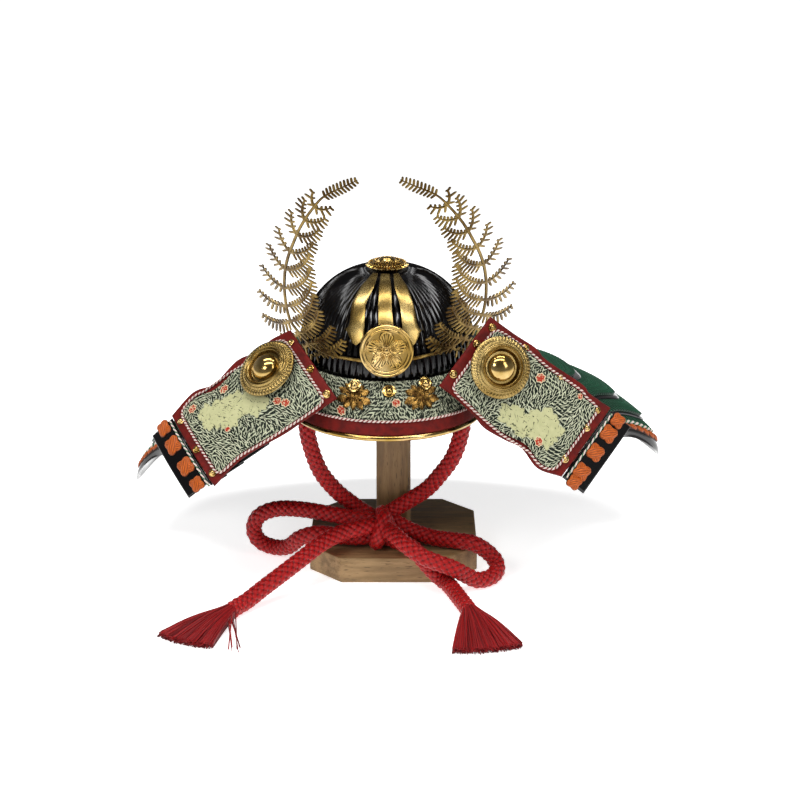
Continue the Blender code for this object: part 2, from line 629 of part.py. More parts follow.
def make_fronds():
    outline = frond_outline()
    for name, sign, lean in (("fern_left", -1, 0.0), ("fern_right", 1, FROND_RIGHT_LEAN)):
        curve = bpy.data.curves.new(name, "CURVE")
        curve.dimensions = "2D"
        curve.fill_mode = "BOTH"
        curve.extrude = FROND_SHEET / 2
        spline = curve.splines.new("POLY")
        spline.points.add(len(outline) - 1)
        for knot, (x, y) in zip(spline.points, outline):
            knot.co = (x, y, 0, 1)
        spline.use_cyclic_u = True
        item = bpy.data.objects.new(name, curve)
        bpy.context.scene.collection.objects.link(item)
        mesh = evaluated_mesh(item)

        def place(x, y, z):
            out = x * math.cos(lean) - y * math.sin(lean)
            up = y * math.cos(lean) + x * math.sin(lean)
            slope = 2 * FROND_WRAP * out
            size = np.sqrt(1 + slope**2)
            return np.column_stack([
                HELMET_X + sign * (out + z * slope / size), frond_plan(out) - z / size, FROND_FOOT_Z + up])

        bend_onto(mesh, place)
        if sign < 0:
            mesh.flip_normals()
        add(name, mesh, "gold_plate")


def make_crest():
    low = FROND_FOOT_Z - HOLDER_BELOW_FROND
    holder = board("crest_holder", HOLDER_WIDTH, HOLDER_DEPTH, low, low + HOLDER_HEIGHT, 1 * MM, "aged_gold")
    holder.location = (HELMET_X, holder_front() + HOLDER_DEPTH / 2, 0)
    rim = 1.6 * MM
    profile = [(0, CREST_THICKNESS - 0.4 * MM), (CREST_RADIUS - 2.4 * rim, CREST_THICKNESS - 0.4 * MM),
               (CREST_RADIUS - 2 * rim, CREST_THICKNESS), (CREST_RADIUS - 0.5 * rim, CREST_THICKNESS),
               (CREST_RADIUS, CREST_THICKNESS / 2), (CREST_RADIUS, 0), (0, 0)]
    mesh = turned(profile, 24)
    turn = Matrix.Rotation(math.pi / 2 - CREST_TILT, 4, "X")
    back = frond_plan(0) - FROND_SHEET / 2 - 2 * GAP + (CREST_Z - FROND_FOOT_Z) * math.sin(CREST_TILT)
    mesh.transform(Matrix.Translation((HELMET_X, back, CREST_Z)) @ turn)
    add("crest_medallion", mesh, "gold_plate")


# Wings


def wing_corners(row):
    """The foot and outer end of the wing's lower edge."""
    sizes = np.array([BOWL_HALF_WIDTH, BOWL_HALF_DEPTH, BOWL_HEIGHT])
    foot = np.array([HELMET_X, 0, BOWL_WIDEST_Z]) + np.array(row["foot"]) * sizes
    return foot, foot + np.array(row["along"]) * WING_LENGTH


def wing_surface_of(row):
    """The wing's outer face as a function of the share down from its top edge and the share along it. The waves of
    its edges fade out towards the other edge."""
    foot = wing_corners(row)[0]
    along_step = np.array(row["along"]) * WING_LENGTH
    up_step = np.array(row["up"]) * WING_HEIGHT
    back_step = np.array([0, 0.944, -0.33]) * row["curl"] * WING_HEIGHT
    top, low = smooth_curve(row["top"], 200), smooth_curve(row["low"], 200)

    def surface(down, along):
        along = np.asarray(along, float)
        along = along if row["sign"] > 0 else 1 - along
        up = 1 - np.asarray(down, float)
        up = (up + np.interp(along, *top.T) * np.clip(up, 0, 1) ** 2
              + np.interp(along, *low.T) * np.clip(1 - up, 0, 1) ** 2)
        lean = np.clip(up, -1, 2) ** 2
        return foot + along[..., None] * along_step + up[..., None] * up_step + lean[..., None] * back_step

    return surface


def across(row, along):
    """The wing surface runs from the viewer's left to right, so the left wing's shares are turned round."""
    return along if row["sign"] > 0 else 1 - along


def make_wing(row):
    side = row["side"]
    surface = wing_surface_of(row)
    shell(f"wing_{side}", patch(surface, (0, 1), (0, 1), 4, WING_COLUMNS, 0), WING_THICKNESS, "red_leather")
    face_along = sorted(across(row, share) for share in FACE_ALONG)
    lift = FACE_THICKNESS + 2 * GAP
    shell(f"wing_face_{side}", patch(surface, FACE_DOWN, face_along, 4, FACE_COLUMNS, lift), FACE_THICKNESS, "printed_leather")
    margin = PIPING_RADIUS + 2 * GAP
    d0, d1 = FACE_DOWN[0] - margin / WING_HEIGHT, FACE_DOWN[1] + margin / WING_HEIGHT
    a0, a1 = face_along[0] - margin / WING_LENGTH, face_along[1] + margin / WING_LENGTH
    cut = 0.015
    long_side = np.linspace(a0 + cut, a1 - cut, FACE_COLUMNS)
    short_side = np.linspace(d0 + cut, d1 - cut, 4)
    ring_d = np.concatenate([0 * long_side + d0, short_side, 0 * long_side + d1, short_side[::-1]])
    ring_a = np.concatenate([long_side, 0 * short_side + a1, long_side[::-1], 0 * short_side + a0])
    ring = lifted(surface, ring_d, ring_a, np.full(len(ring_d), PIPING_RADIUS + 2 * GAP))
    tube(f"wing_piping_{side}", ring, PIPING_RADIUS, "piping", sides=1, closed=True)
    make_boss(row, surface)
    make_end_plate(row, surface)


def make_boss(row, surface):
    """A stepped round boss on a hub, with a dome in its middle."""
    clear = 2 * PIPING_RADIUS + 3 * GAP - FACE_THICKNESS + 0.6 * MM
    r = BOSS_RADIUS
    profile = [
        (0, clear + 2.2 * MM), (BOSS_DOME_RADIUS + 0.6 * MM, clear + 2.2 * MM), (0.58 * r, clear + 3 * MM),
        (0.7 * r, clear + 1.7 * MM), (0.78 * r, clear + 2.3 * MM), (0.86 * r, clear + 1.1 * MM), (r, clear + 0.7 * MM),
        (r, clear), (0.3 * r, clear), (0.3 * r, 0), (0, 0),
    ]
    dome = [(BOSS_DOME_RADIUS * math.sin(a), BOSS_DOME_HEIGHT * math.cos(a)) for a in np.radians((0, 30, 58, 90))]
    dome.append((0, 0))
    along, down = row["boss"]
    base = FACE_THICKNESS + 3 * GAP
    for name, shape, lift, steps in ((f"boss_{row['side']}", profile, base, 16),
                                     (f"boss_dome_{row['side']}", dome, base + clear + 2.2 * MM + GAP, 14)):
        mesh = turned(shape, steps)
        mesh.transform(seat(surface, down, across(row, along), lift))
        add(name, mesh, "gold_plate")


def make_end_plate(row, surface):
    """The turned end of the lowest lame, just beyond the wing's outer edge, and the cross knots along it."""
    start = 1 + 2 * GAP / WING_LENGTH
    end = start + END_PLATE_WIDTH / WING_LENGTH
    reach = sorted((across(row, start), across(row, end)))
    d, a = np.meshgrid(np.linspace(0.02, 1.0, 4), np.linspace(*reach, 4), indexing="ij")

    def plate(down, along):
        beyond = np.where(row["sign"] > 0, along - 1, -along) * WING_LENGTH
        return lifted(surface, down, along, -END_PLATE_STEP - END_PLATE_SLOPE * beyond)

    shell(f"end_plate_{row['side']}", plate(d, a), END_PLATE_THICKNESS, "black_lacquer")
    middle = (start + end) / 2
    count = row["cross_knots"]
    for number in range(count):
        down = 0.10 + 0.80 * number / (count - 1)
        mesh = bpy.data.meshes.new("cross_knot")
        shape = bmesh.new()
        bmesh.ops.create_cone(shape, cap_ends=True, segments=8, radius1=CROSS_KNOT_RADIUS,
                              radius2=0.62 * CROSS_KNOT_RADIUS, depth=CROSS_KNOT_THICKNESS,
                              matrix=Matrix.Translation((0, 0, CROSS_KNOT_THICKNESS / 2)))
        shape.to_mesh(mesh)
        shape.free()
        mesh.transform(seat(plate, down, across(row, middle), 2 * GAP))
        add(f"cross_knot_{row['side']}_{number + 1}", mesh, "orange_braid", smooth=False)


# Neck guard


def guard_stations():
    """Inner edge, outer edge and bulge at each station, from the right fold round the back to the left fold."""
    rows = []
    for station in GUARD_STATIONS:
        inner = (HELMET_X + station["inner"][0] * BOWL_HALF_WIDTH, station["inner"][1] * BOWL_HALF_DEPTH, GUARD_TOP_Z)
        outer = (HELMET_X + station["outer"][0] * GUARD_HALF_WIDTH, station["outer"][1] * GUARD_BACK,
                 GUARD_TOP_Z - station["drop"] * GUARD_DROP)
        rows.append([*inner, *outer, station["bulge"]])
    folds = []
    for row, neighbour in ((WINGS[0], rows[0]), (WINGS[1], rows[-1])):
        foot, end = wing_corners(row)
        step_in = np.array(neighbour[:3]) - foot
        step_out = np.array(neighbour[3:6]) - end
        foot = foot + step_in / np.linalg.norm(step_in) * FOLD_SETBACK
        end = end + step_out / np.linalg.norm(step_out) * FOLD_SETBACK
        folds.append([*foot, *end, 0.0])
    return np.array([folds[0], *rows, folds[1]])


def guard_surface(out, turn):
    """The guard's outer face: out runs from the bowl (0) to the lower edge (1), turn from right to left fold."""
    out, turn = np.broadcast_arrays(np.asarray(out, float), np.asarray(turn, float))
    table = np.vstack([2 * STATIONS[0] - STATIONS[1], STATIONS, 2 * STATIONS[-1] - STATIONS[-2]])
    place = np.clip(turn, 0, 1) * (len(STATIONS) - 1)
    low = np.minimum(place.astype(int), len(STATIONS) - 2)
    t = (place - low)[..., None]
    a, b, c, d = table[low], table[low + 1], table[low + 2], table[low + 3]
    row = 0.5 * (2 * b + (c - a) * t + (2 * a - 5 * b + 4 * c - d) * t**2 + (3 * b - a - 3 * c + d) * t**3)
    inner, outer, bulge = row[..., 0:3], row[..., 3:6], row[..., 6]
    curved = 0.45 * out + 0.55 * (1 - np.sqrt(np.clip(1 - np.clip(out, 0, 1) ** 3, 0.0009, 1)))
    fall = bulge * curved + (1 - bulge) * out
    flat = inner + (outer - inner) * out[..., None]
    flat[..., 2] = inner[..., 2] + (outer[..., 2] - inner[..., 2]) * fall
    return flat


def make_lames():
    turns = np.linspace(0, 1, GUARD_TURNS)
    for number, (start, end) in enumerate(zip(LAME_EDGES[:-1], LAME_EDGES[1:])):
        tuck = 0.0 if number == 0 else LAME_THICKNESS + LAME_CLEARANCE
        rows = list(np.linspace(start, end, LAME_ROWS[number]))
        if number > 0:
            rows.insert(0, start - LAME_OVERLAP)
        outs, around = np.meshgrid(rows, turns, indexing="ij")
        depth = -tuck * (end - outs) / (end - start)
        grid = lifted(guard_surface, outs, around, depth)
        shell(f"lame_{number + 1}", grid, LAME_THICKNESS, "lacing")


# Cord


def make_cord():
    for name, route in CORD_ROUTES.items():
        tube(name, smooth_curve(np.array(route) * MM, CORD_POINTS[name]), CORD_RADIUS, "red_cord")
    mesh = turned([(math.sin(a), math.cos(a)) for a in np.radians((0, 32, 62, 90, 118, 148, 180))], 12)
    mesh.transform(Matrix.Translation(KNOT_CENTRE) @ Matrix.Diagonal((*KNOT_HALF_SIZES, 1)))
    add("cord_knot", mesh, "red_cord")


def make_tassel(row):
    """Locks fused to a head: oval sections that widen and flatten from the cord's end to the cut ends."""
    root = np.array(row["root"]) * MM
    left, right = (np.array([*corner, 2.5]) * MM for corner in row["corners"])
    heading = (left + right) / 2 - root
    heading /= np.linalg.norm(heading)
    widths = np.linalg.norm(right - left) / 2
    root = root + heading * 4 * GAP
    rings = []
    around = np.linspace(0, math.tau, 2 * TASSEL_LOCKS, endpoint=False)
    for share, width, height in ((0, 0.27, 4.8), (0.14, 0.34, 5.0), (0.45, 0.62, 4.4), (0.8, 0.88, 3.2), (1, 1, 2.2)):
        a, b = root + (left - root) * share, root + (right - root) * share
        middle = (a + b) / 2
        middle[2] = max(height * MM + 0.4 * MM, root[2] * (1 - share) + 3 * MM * share)
        sideways = (right - left) / np.linalg.norm(right - left)
        lock = 1 - 0.12 * (np.arange(len(around)) % 2)
        half = widths * width
        ring = (middle + np.outer(np.cos(around) * half * lock, sideways)
                + np.outer(np.sin(around) * height * MM * lock, (0, 0, 1)))
        ring += np.outer((1 - np.abs(np.cos(around))) * share * 3 * MM, heading)
        rings.append(ring)
    count = len(around)
    points = np.vstack(rings)
    faces = [tuple(range(count))[::-1]]
    for ring in range(len(rings) - 1):
        for i in range(count):
            j = (i + 1) % count
            faces.append((ring * count + i, ring * count + j, (ring + 1) * count + j, (ring + 1) * count + i))
    faces.append(tuple(range((len(rings) - 1) * count, len(rings) * count)))
    mesh = bpy.data.meshes.new(row["name"])
    mesh.from_pydata(points.tolist(), [], faces)
    shape = bmesh.new()
    shape.from_mesh(mesh)
    bmesh.ops.triangulate(shape, faces=shape.faces)
    bmesh.ops.recalc_face_normals(shape, faces=shape.faces)
    shape.to_mesh(mesh)
    shape.free()
    add(row["name"], mesh, "red_cord")


clear_scene()
PART = collection(COLLECTION)
FINISHES = make_materials()
STATIONS = guard_stations()
make_stand()
make_bowl()
make_crown_ornament()
make_straps()
make_visor()
make_visor_ornaments()
make_crest()
make_fronds()
for wing_row in WINGS:
    make_wing(wing_row)
make_lames()
make_cord()
for tassel_row in TASSELS:
    make_tassel(tassel_row)
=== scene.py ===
"""Looks of the kabuto helmet on its wooden stand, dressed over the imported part.

Metres, +Z up, +X to the viewer's right, +Y away from the viewer, origin under the middle of the base board.
Each new piece is a surface worked out with numpy in the place of its CAD node: a function of two
parameters, or a profile carried along a path.
"""
import math

import bpy
import numpy as np
from mathutils import Matrix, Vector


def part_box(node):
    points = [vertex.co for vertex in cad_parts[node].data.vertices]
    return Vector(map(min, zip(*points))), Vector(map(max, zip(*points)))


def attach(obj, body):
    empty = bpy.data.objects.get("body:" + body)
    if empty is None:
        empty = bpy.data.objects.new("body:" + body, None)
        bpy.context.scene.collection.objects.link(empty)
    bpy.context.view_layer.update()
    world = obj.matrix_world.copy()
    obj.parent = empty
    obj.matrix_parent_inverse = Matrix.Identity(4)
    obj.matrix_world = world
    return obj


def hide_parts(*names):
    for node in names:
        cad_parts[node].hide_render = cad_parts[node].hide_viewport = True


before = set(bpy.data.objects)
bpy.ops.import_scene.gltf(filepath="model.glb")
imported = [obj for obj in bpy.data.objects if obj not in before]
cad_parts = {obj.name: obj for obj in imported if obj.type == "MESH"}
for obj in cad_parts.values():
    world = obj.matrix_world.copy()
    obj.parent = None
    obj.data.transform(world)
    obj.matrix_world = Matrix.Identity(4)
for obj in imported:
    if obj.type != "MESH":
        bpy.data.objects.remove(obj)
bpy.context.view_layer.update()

MM = 0.001
BODY = "root"

# Sizes that the part's source also has
HELMET_X = -3.6 * MM
BOWL_HALF_WIDTH, BOWL_HALF_DEPTH, BOWL_HEIGHT = 52.5 * MM, 60 * MM, 50 * MM
BOWL_WIDEST_Z = 134 * MM
BOWL_SIZES = np.array([BOWL_HALF_WIDTH, BOWL_HALF_DEPTH, BOWL_HEIGHT])
CROWN_Z = BOWL_WIDEST_Z + BOWL_HEIGHT
FROND_FOOT_Z = 146 * MM
FROND_HEIGHT, FROND_HALF_SPREAD = 105 * MM, 60.5 * MM
FROND_LEAFLET = 28 * MM
FROND_WRAP = 14.5
HOLDER_FRONT = -65.1 * MM
CREST_Z = 153 * MM
CREST_TILT = math.radians(6)
WING_LENGTH, WING_HEIGHT = 88 * MM, 50.3 * MM
GUARD_HALF_WIDTH, GUARD_BACK, GUARD_DROP = 165.5 * MM, 128 * MM, 72 * MM
GUARD_TOP_Z = BOWL_WIDEST_Z - 0.8 * MM
LAME_EDGES = (0.0, 0.30, 0.56, 0.77, 0.91, 1.0)
LAME_TUCK = 2.9 * MM
CORD_RADIUS = 5 * MM
BASE_WIDTH, BASE_DEPTH, BASE_THICKNESS, BASE_CUT = 102 * MM, 95 * MM, 16 * MM, 19.5 * MM
POST_SIDE, POST_CHAMFER = 21 * MM, 2.2 * MM
VISOR_HALF_WIDTH, VISOR_FRONT, VISOR_CENTRE_Y = 58 * MM, 71.5 * MM, -10 * MM
VISOR_DROP, VISOR_SIDE_DROP = 26.5 * MM, 5 * MM
CREST_RADIUS = 15.2 * MM
END_PLATE_WIDTH = 16.5 * MM
FERN_STEP = 1.0 * MM     # from the holder's front to the middle of the fern sheet

# Sizes of the dressing
FLOOR_RADIUS = 0.95
PIPING_RADIUS, PIPING_PITCH = 0.8 * MM, 2.6 * MM
UPRIGHT = np.array([0.0, 0.0, 1.0])


# Shapes


def unit(vectors):
    """Each vector divided by its own length."""
    return vectors / np.linalg.norm(vectors, axis=-1, keepdims=True)


def full_turn(count):
    """Even angles round a full turn, whose end isn't given twice."""
    return np.linspace(0, math.tau, count, endpoint=False)


def run_along(path):
    """The distance from a path's start to each of its points."""
    return np.concatenate([[0], np.cumsum(np.linalg.norm(np.diff(path, axis=0), axis=1))])


def resampled(values, run, places):
    """Each column of values, known at the distances run, read off at other distances."""
    return np.column_stack([np.interp(places, run, column) for column in values.T])


def catmull_rom(a, b, c, d, t):
    """The cubic from b (t = 0) to c (t = 1) that heads along c - a and then along d - b."""
    return 0.5 * (2 * b + (c - a) * t + (2 * a - 5 * b + 4 * c - d) * t**2 + (3 * b - a - 3 * c + d) * t**3)


def turned_grid(radii, heights, count):
    """Rings of count points round the Z axis, one ring for each radius and height."""
    turn = full_turn(count)
    return np.stack([np.outer(radii, np.cos(turn)), np.outer(radii, np.sin(turn)),
                     np.outer(heights, np.ones(count))], axis=-1)


def grid_faces(rows, columns, ring=False):
    """Four-cornered faces of a grid of points; a ring's last column joins its first."""
    index = np.arange(rows * columns).reshape(rows, columns)
    if ring:
        index = np.hstack([index, index[:, :1]])
    return np.stack([index[:-1, :-1], index[1:, :-1], index[1:, 1:], index[:-1, 1:]], axis=-1).reshape(-1, 4)


def capped(grid):
    """A closed tube: a grid whose columns run round it, with a point in the middle of each end."""
    rows, columns = grid.shape[:2]
    here = np.arange(columns)
    after = np.roll(here, -1)
    first, last = rows * columns, rows * columns + 1
    low_cap = np.column_stack([np.full(columns, first), here, after])
    high_cap = np.column_stack([np.full(columns, last), after, here]) + [0, (rows - 1) * columns,
                                                                         (rows - 1) * columns]
    points = np.vstack([grid.reshape(-1, 3), grid[0].mean(0), grid[-1].mean(0)])
    return points, [grid_faces(rows, columns, ring=True), low_cap, high_cap]


def looped(grid):
    """A closed ring of tube: both the rows and the columns come back to their start."""
    rows, columns = grid.shape[:2]
    faces = grid_faces(rows + 1, columns, ring=True) % (rows * columns)
    return grid.reshape(-1, 3), [faces]


def slab(outer, inner):
    """A closed wall between two like grids, with a strip of faces round its four edges."""
    rows, columns = outer.shape[:2]
    count = rows * columns
    top = grid_faces(rows, columns)
    index = np.arange(count).reshape(rows, columns)
    rim = np.concatenate([index[0], index[1:, -1], index[-1, -2::-1], index[-2:0:-1, 0]])
    after = np.roll(rim, -1)
    sides = np.column_stack([rim, after, after + count, rim + count])
    return np.vstack([outer.reshape(-1, 3), inner.reshape(-1, 3)]), [top, top[:, ::-1] + count, sides]


def repeated(points, faces):
    """Many like solids at once: points are (solids, points, 3) and the faces are those of one."""
    count, size = points.shape[:2]
    shift = (np.arange(count) * size)[:, None, None]
    return points.reshape(-1, 3), [(block[None] + shift).reshape(-1, block.shape[1]) for block in faces]


class Shape:
    """Closed solids gathered into one piece, with the named values that their points carry."""

    def __init__(self):
        self.points, self.faces, self.finishes, self.values = [], [], [], []
        self.count = 0

    def add(self, solid, finish=0, mirrored=False, **values):
        points, faces = solid
        for block in faces:
            self.faces.append((block[:, ::-1] if mirrored else block) + self.count)
            self.finishes.append(np.full(len(block), finish))
        self.points.append(points)
        self.values.append(values)
        self.count += len(points)
        return self


def both_sides(value):
    """A value for each point of a slab: the outer grid's own values, then the same for the inner grid."""
    flat = np.asarray(value, float).ravel()
    return np.concatenate([flat, flat])


def with_ends(value):
    """A value for each point of a capped tube, the two end points included."""
    value = np.asarray(value, float)
    return np.concatenate([value.ravel(), [value[0].mean(), value[-1].mean()]])


def piece(name, shape, materials, replaces=(), angle=38):
    """Makes a shape's object, smooth below an angle, riding on the one body and standing for its CAD
    nodes."""
    points = np.vstack(shape.points)
    corners = np.concatenate([block.ravel() for block in shape.faces])
    sizes = np.concatenate([np.full(len(block), block.shape[1]) for block in shape.faces])
    mesh = bpy.data.meshes.new(name)
    mesh.vertices.add(len(points))
    mesh.vertices.foreach_set("co", points.astype(np.float32).ravel())
    mesh.loops.add(len(corners))
    mesh.loops.foreach_set("vertex_index", corners.astype(np.int32))
    mesh.polygons.add(len(sizes))
    mesh.polygons.foreach_set("loop_start", np.concatenate([[0], np.cumsum(sizes)[:-1]]).astype(np.int32))
    for material in materials:
        mesh.materials.append(material)
    mesh.polygons.foreach_set("material_index", np.concatenate(shape.finishes).astype(np.int32))
    mesh.update(calc_edges=True)
    for label in sorted({key for values in shape.values for key in values}):
        filled = [np.broadcast_to(values.get(label, 0.0), len(part)).astype(np.float32)
                  for values, part in zip(shape.values, shape.points)]
        layer = mesh.attributes.new(label, "FLOAT", "POINT")
        layer.data.foreach_set("value", np.concatenate(filled))
    mesh.shade_smooth()
    mesh.set_sharp_from_angle(angle=math.radians(angle))
    item = bpy.data.objects.new(name, mesh)
    bpy.context.scene.collection.objects.link(item)
    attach(item, BODY)
    if replaces:
        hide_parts(*replaces)
    return item


def smooth_curve(route, count):
    """Even steps along the Catmull-Rom curve through the route's points."""
    route = np.asarray(route, float)
    held = np.vstack([2 * route[0] - route[1], route, 2 * route[-1] - route[-2]])
    t = np.linspace(0, 1, 24, endpoint=False)[:, None]
    a, b, c, d = (held[k:len(held) - 3 + k][:, None, :] for k in range(4))
    dense = catmull_rom(a, b, c, d, t)
    dense = np.vstack([dense.reshape(-1, route.shape[1]), route[-1]])
    run = run_along(dense)
    steps = np.linspace(0, run[-1], count)
    return resampled(dense, run, steps)


def path_frames(path, ring=False, keep=None):
    """Two cross directions at each point of a path. The first keeps to one fixed direction: the given one,
    or the normal of the plane that the path comes nearest to."""
    ahead = np.roll(path, -1, axis=0) - np.roll(path, 1, axis=0) if ring else np.gradient(path, axis=0)
    tangent = unit(ahead)
    if keep is None:
        keep = np.linalg.svd(path - path.mean(0), full_matrices=False)[2][2]
    keep = np.broadcast_to(keep, path.shape)
    side = unit(keep - (tangent * keep).sum(-1, keepdims=True) * tangent)
    return side, np.cross(side, tangent)


def swept(path, radii, angles, frames):
    """Points round a path: path + radius * (cos(angle) * side + sin(angle) * other side)."""
    side, other = frames
    return (path[:, None] + radii[..., None] * (np.cos(angles)[..., None] * side[:, None]
                                                + np.sin(angles)[..., None] * other[:, None]))


def round_tube(path, radius, around=8, ring=False, keep=None):
    """A plain round tube along a path, closed at its ends or into a ring."""
    angles = np.broadcast_to(full_turn(around), (len(path), around))
    radii = np.broadcast_to(np.asarray(radius, float).reshape(-1, 1), angles.shape)
    grid = swept(path, radii, angles, path_frames(path, ring, keep))
    return looped(grid) if ring else capped(grid)


def balls(centres, radius, rings=6, around=10):
    """Small spheres at many centres; their caps leave out 0.28 radians at each pole."""
    down = np.linspace(0.28, math.pi - 0.28, rings)
    points, faces = capped(turned_grid(np.sin(down), np.cos(down), around))
    return repeated(np.asarray(centres)[:, None] + radius * points, faces)


def turned_axes(normals):
    """For each normal, the rows X, Y and Z of a frame whose Z is that normal."""
    normals = unit(np.asarray(normals, float).reshape(-1, 3))
    helper = np.where(np.abs(normals[:, 2:]) < 0.9, [[0.0, 0.0, 1.0]], [[0.0, 1.0, 0.0]])
    x = unit(np.cross(helper, normals))
    return np.stack([x, np.cross(normals, x), normals], axis=1)


def lifted(surface, s, t, lift):
    """Points of a surface moved out along its normal, which is ds x dt."""
    step = 1e-4
    along_s = surface(s + step, t) - surface(s - step, t)
    along_t = surface(s, t + step) - surface(s, t - step)
    return surface(s, t) + np.asarray(lift)[..., None] * unit(np.cross(along_s, along_t))


def eased(low, high, count):
    """Values from low to high, closer together near both ends."""
    even = np.linspace(0, 1, count)
    return low + (high - low) * (0.4 * even + 0.6 * (0.5 - 0.5 * np.cos(np.pi * even)))


def grid_lengths(surface, s_line, t_line):
    """Distances along the middle column and the middle row of a patch."""
    down = surface(s_line, np.full(len(s_line), t_line[len(t_line) // 2]))
    along = surface(np.full(len(t_line), s_line[len(s_line) // 2]), t_line)
    return [run_along(line) for line in (down, along)]


def rounded_wall(surface, s_line, t_line, lift, thickness, edge, relief=None):
    """A wall on a surface with all its edges rounded over. Near an edge both faces draw in by
    edge * (1 - sqrt(1 - (1 - distance / edge)^2)); relief is added to the outer face's height."""
    s, t = np.meshgrid(s_line, t_line, indexing="ij")
    run_s, run_t = grid_lengths(surface, s_line, t_line)
    near = np.minimum(np.minimum(run_s, run_s[-1] - run_s)[:, None],
                      np.minimum(run_t, run_t[-1] - run_t)[None])
    drop = edge * (1 - np.sqrt(1 - (1 - np.clip(near / edge, 0, 1)) ** 2))
    outer = lifted(surface, s, t, lift - drop + (0 if relief is None else relief))
    inner = lifted(surface, s, t, lift - thickness + drop)
    return slab(outer, inner), run_s / MM, run_t / MM


def two_ply(path, radius, pitch, ring=False, keep=None):
    """A light and a dark strand twisted round each other: each runs on a helix of half the rope's radius."""
    frames = path_frames(path, ring, keep)
    run = run_along(path)
    total = run[-1] + (np.linalg.norm(path[0] - path[-1]) if ring else 0)
    turns = round(total / pitch)
    strands = []
    for start, thick in ((0.0, 0.66), (math.pi, 0.46)):
        angle = (start + math.tau * turns * run / total)[:, None]
        helix = swept(path, np.full(angle.shape, (0.98 - thick) * radius), angle, frames)[:, 0]
        strands.append(round_tube(helix, thick * radius, 8, ring, frames[0]))
    return strands


def rope(path, radius, pitch, step=0.45 * MM, ring=False, keep=None):
    """A two-ply rope along a path, as one shape whose plies take its first and second material."""
    shape = Shape()
    for number, strand in enumerate(two_ply(even_path(path, step, ring), radius, pitch, ring, keep)):
        shape.add(strand, finish=number, depth=1.0)
    return shape


def even_path(path, step, ring=False):
    """The same path with a point at each even step."""
    line = np.vstack([path, path[:1]]) if ring else path
    run = run_along(line)
    count = max(4, int(run[-1] / step))
    steps = np.linspace(0, run[-1], count, endpoint=not ring)
    return resampled(line, run, steps)


def disc_relief(radius, height, back, radial, around, place):
    """A round plate whose front face is height(r, angle); place turns its local points into world ones."""
    r = np.linspace(0.002, 1, radial) * radius
    angle = full_turn(around)
    rr, aa = np.meshgrid(r, angle, indexing="ij")
    front = np.stack([rr * np.cos(aa), rr * np.sin(aa), height(rr, aa)], axis=-1)
    rim = front[-1:].copy()
    rim[..., 2] = back
    hub = rim * [0.3, 0.3, 1.0]
    return capped(place(np.concatenate([front, rim, hub])))


# Materials


def linear(code):
    """A hex sRGB colour as linear red, green, blue and alpha."""
    parts = [int(code[k:k + 2], 16) / 255 for k in (1, 3, 5)]
    return (*[c / 12.92 if c <= 0.04045 else ((c + 0.055) / 1.055) ** 2.4 for c in parts], 1.0)


def new_material(name, **sockets):
    """A material with its Principled shader's constant sockets set; returns it, its tree and the shader."""
    material = bpy.data.materials.new(name)
    material.use_nodes = True
    tree = material.node_tree
    shader = tree.nodes["Principled BSDF"]
    for key, value in sockets.items():
        shader.inputs[key.replace("_", " ")].default_value = linear(value) if isinstance(value,
                                                                                         str) else value
    return material, tree, shader


def add_node(tree, kind, inputs=None, output=0, **settings):
    """Adds one node with its own settings, gives each socket a value or links it to another node's output,
    and returns one output."""
    item = tree.nodes.new("ShaderNode" + kind)
    for key, value in settings.items():
        setattr(item, key, value)
    for key, value in (inputs or {}).items():
        if isinstance(value, bpy.types.NodeSocket):
            tree.links.new(value, item.inputs[key])
        else:
            item.inputs[key].default_value = linear(value) if isinstance(value, str) else value
    return item.outputs[output]


def connect(tree, shader, **outputs):
    """Links node outputs to sockets of the shader."""
    for key, value in outputs.items():
        tree.links.new(value, shader.inputs[key.replace("_", " ")])


# A Mix node in colour mode has the factor in socket 0 and its colours in 6 and 7. A Map Range node has the
# value in socket 0, the range it comes from in 1 and 2 and the one it goes to in 3 and 4.
MIX = dict(data_type="RGBA", output=2)
SMOOTH = dict(interpolation_type="SMOOTHSTEP")
FINE = {"Detail": 3.0, "Roughness": 0.55}
UNSTRETCHED = (1.0, 1.0, 1.0)


def metal(name, light, dark, roughness, grain=4000.0, stretch=UNSTRETCHED, bump=0.00001, patches=60.0):
    """Plated metal: its colour drifts between two tones and fine marks break the gloss."""
    material, tree, shader = new_material(name, Metallic=1.0)
    place = add_node(tree, "TexCoord", output="Object")
    drift = add_node(tree, "TexNoise", {"Vector": place, "Scale": patches, "Detail": 4.0, "Roughness": 0.55})
    tone = add_node(tree, "MapRange", {0: drift, 1: 0.35, 2: 0.68}, **SMOOTH)
    colour = add_node(tree, "Mix", {0: tone, 6: dark, 7: light}, **MIX)
    drawn = add_node(tree, "Mapping", {"Vector": place, "Scale": stretch})
    marks = add_node(tree, "TexNoise", {"Vector": drawn, "Scale": grain, **FINE})
    gloss = add_node(tree, "MapRange", {0: marks, 1: 0.3, 2: 0.7, 3: roughness * 0.75, 4: roughness * 1.3},
                     **SMOOTH)
    normal = add_node(tree, "Bump", {"Height": marks, "Strength": 0.35, "Distance": bump})
    connect(tree, shader, Base_Color=colour, Roughness=gloss, Normal=normal)
    return material


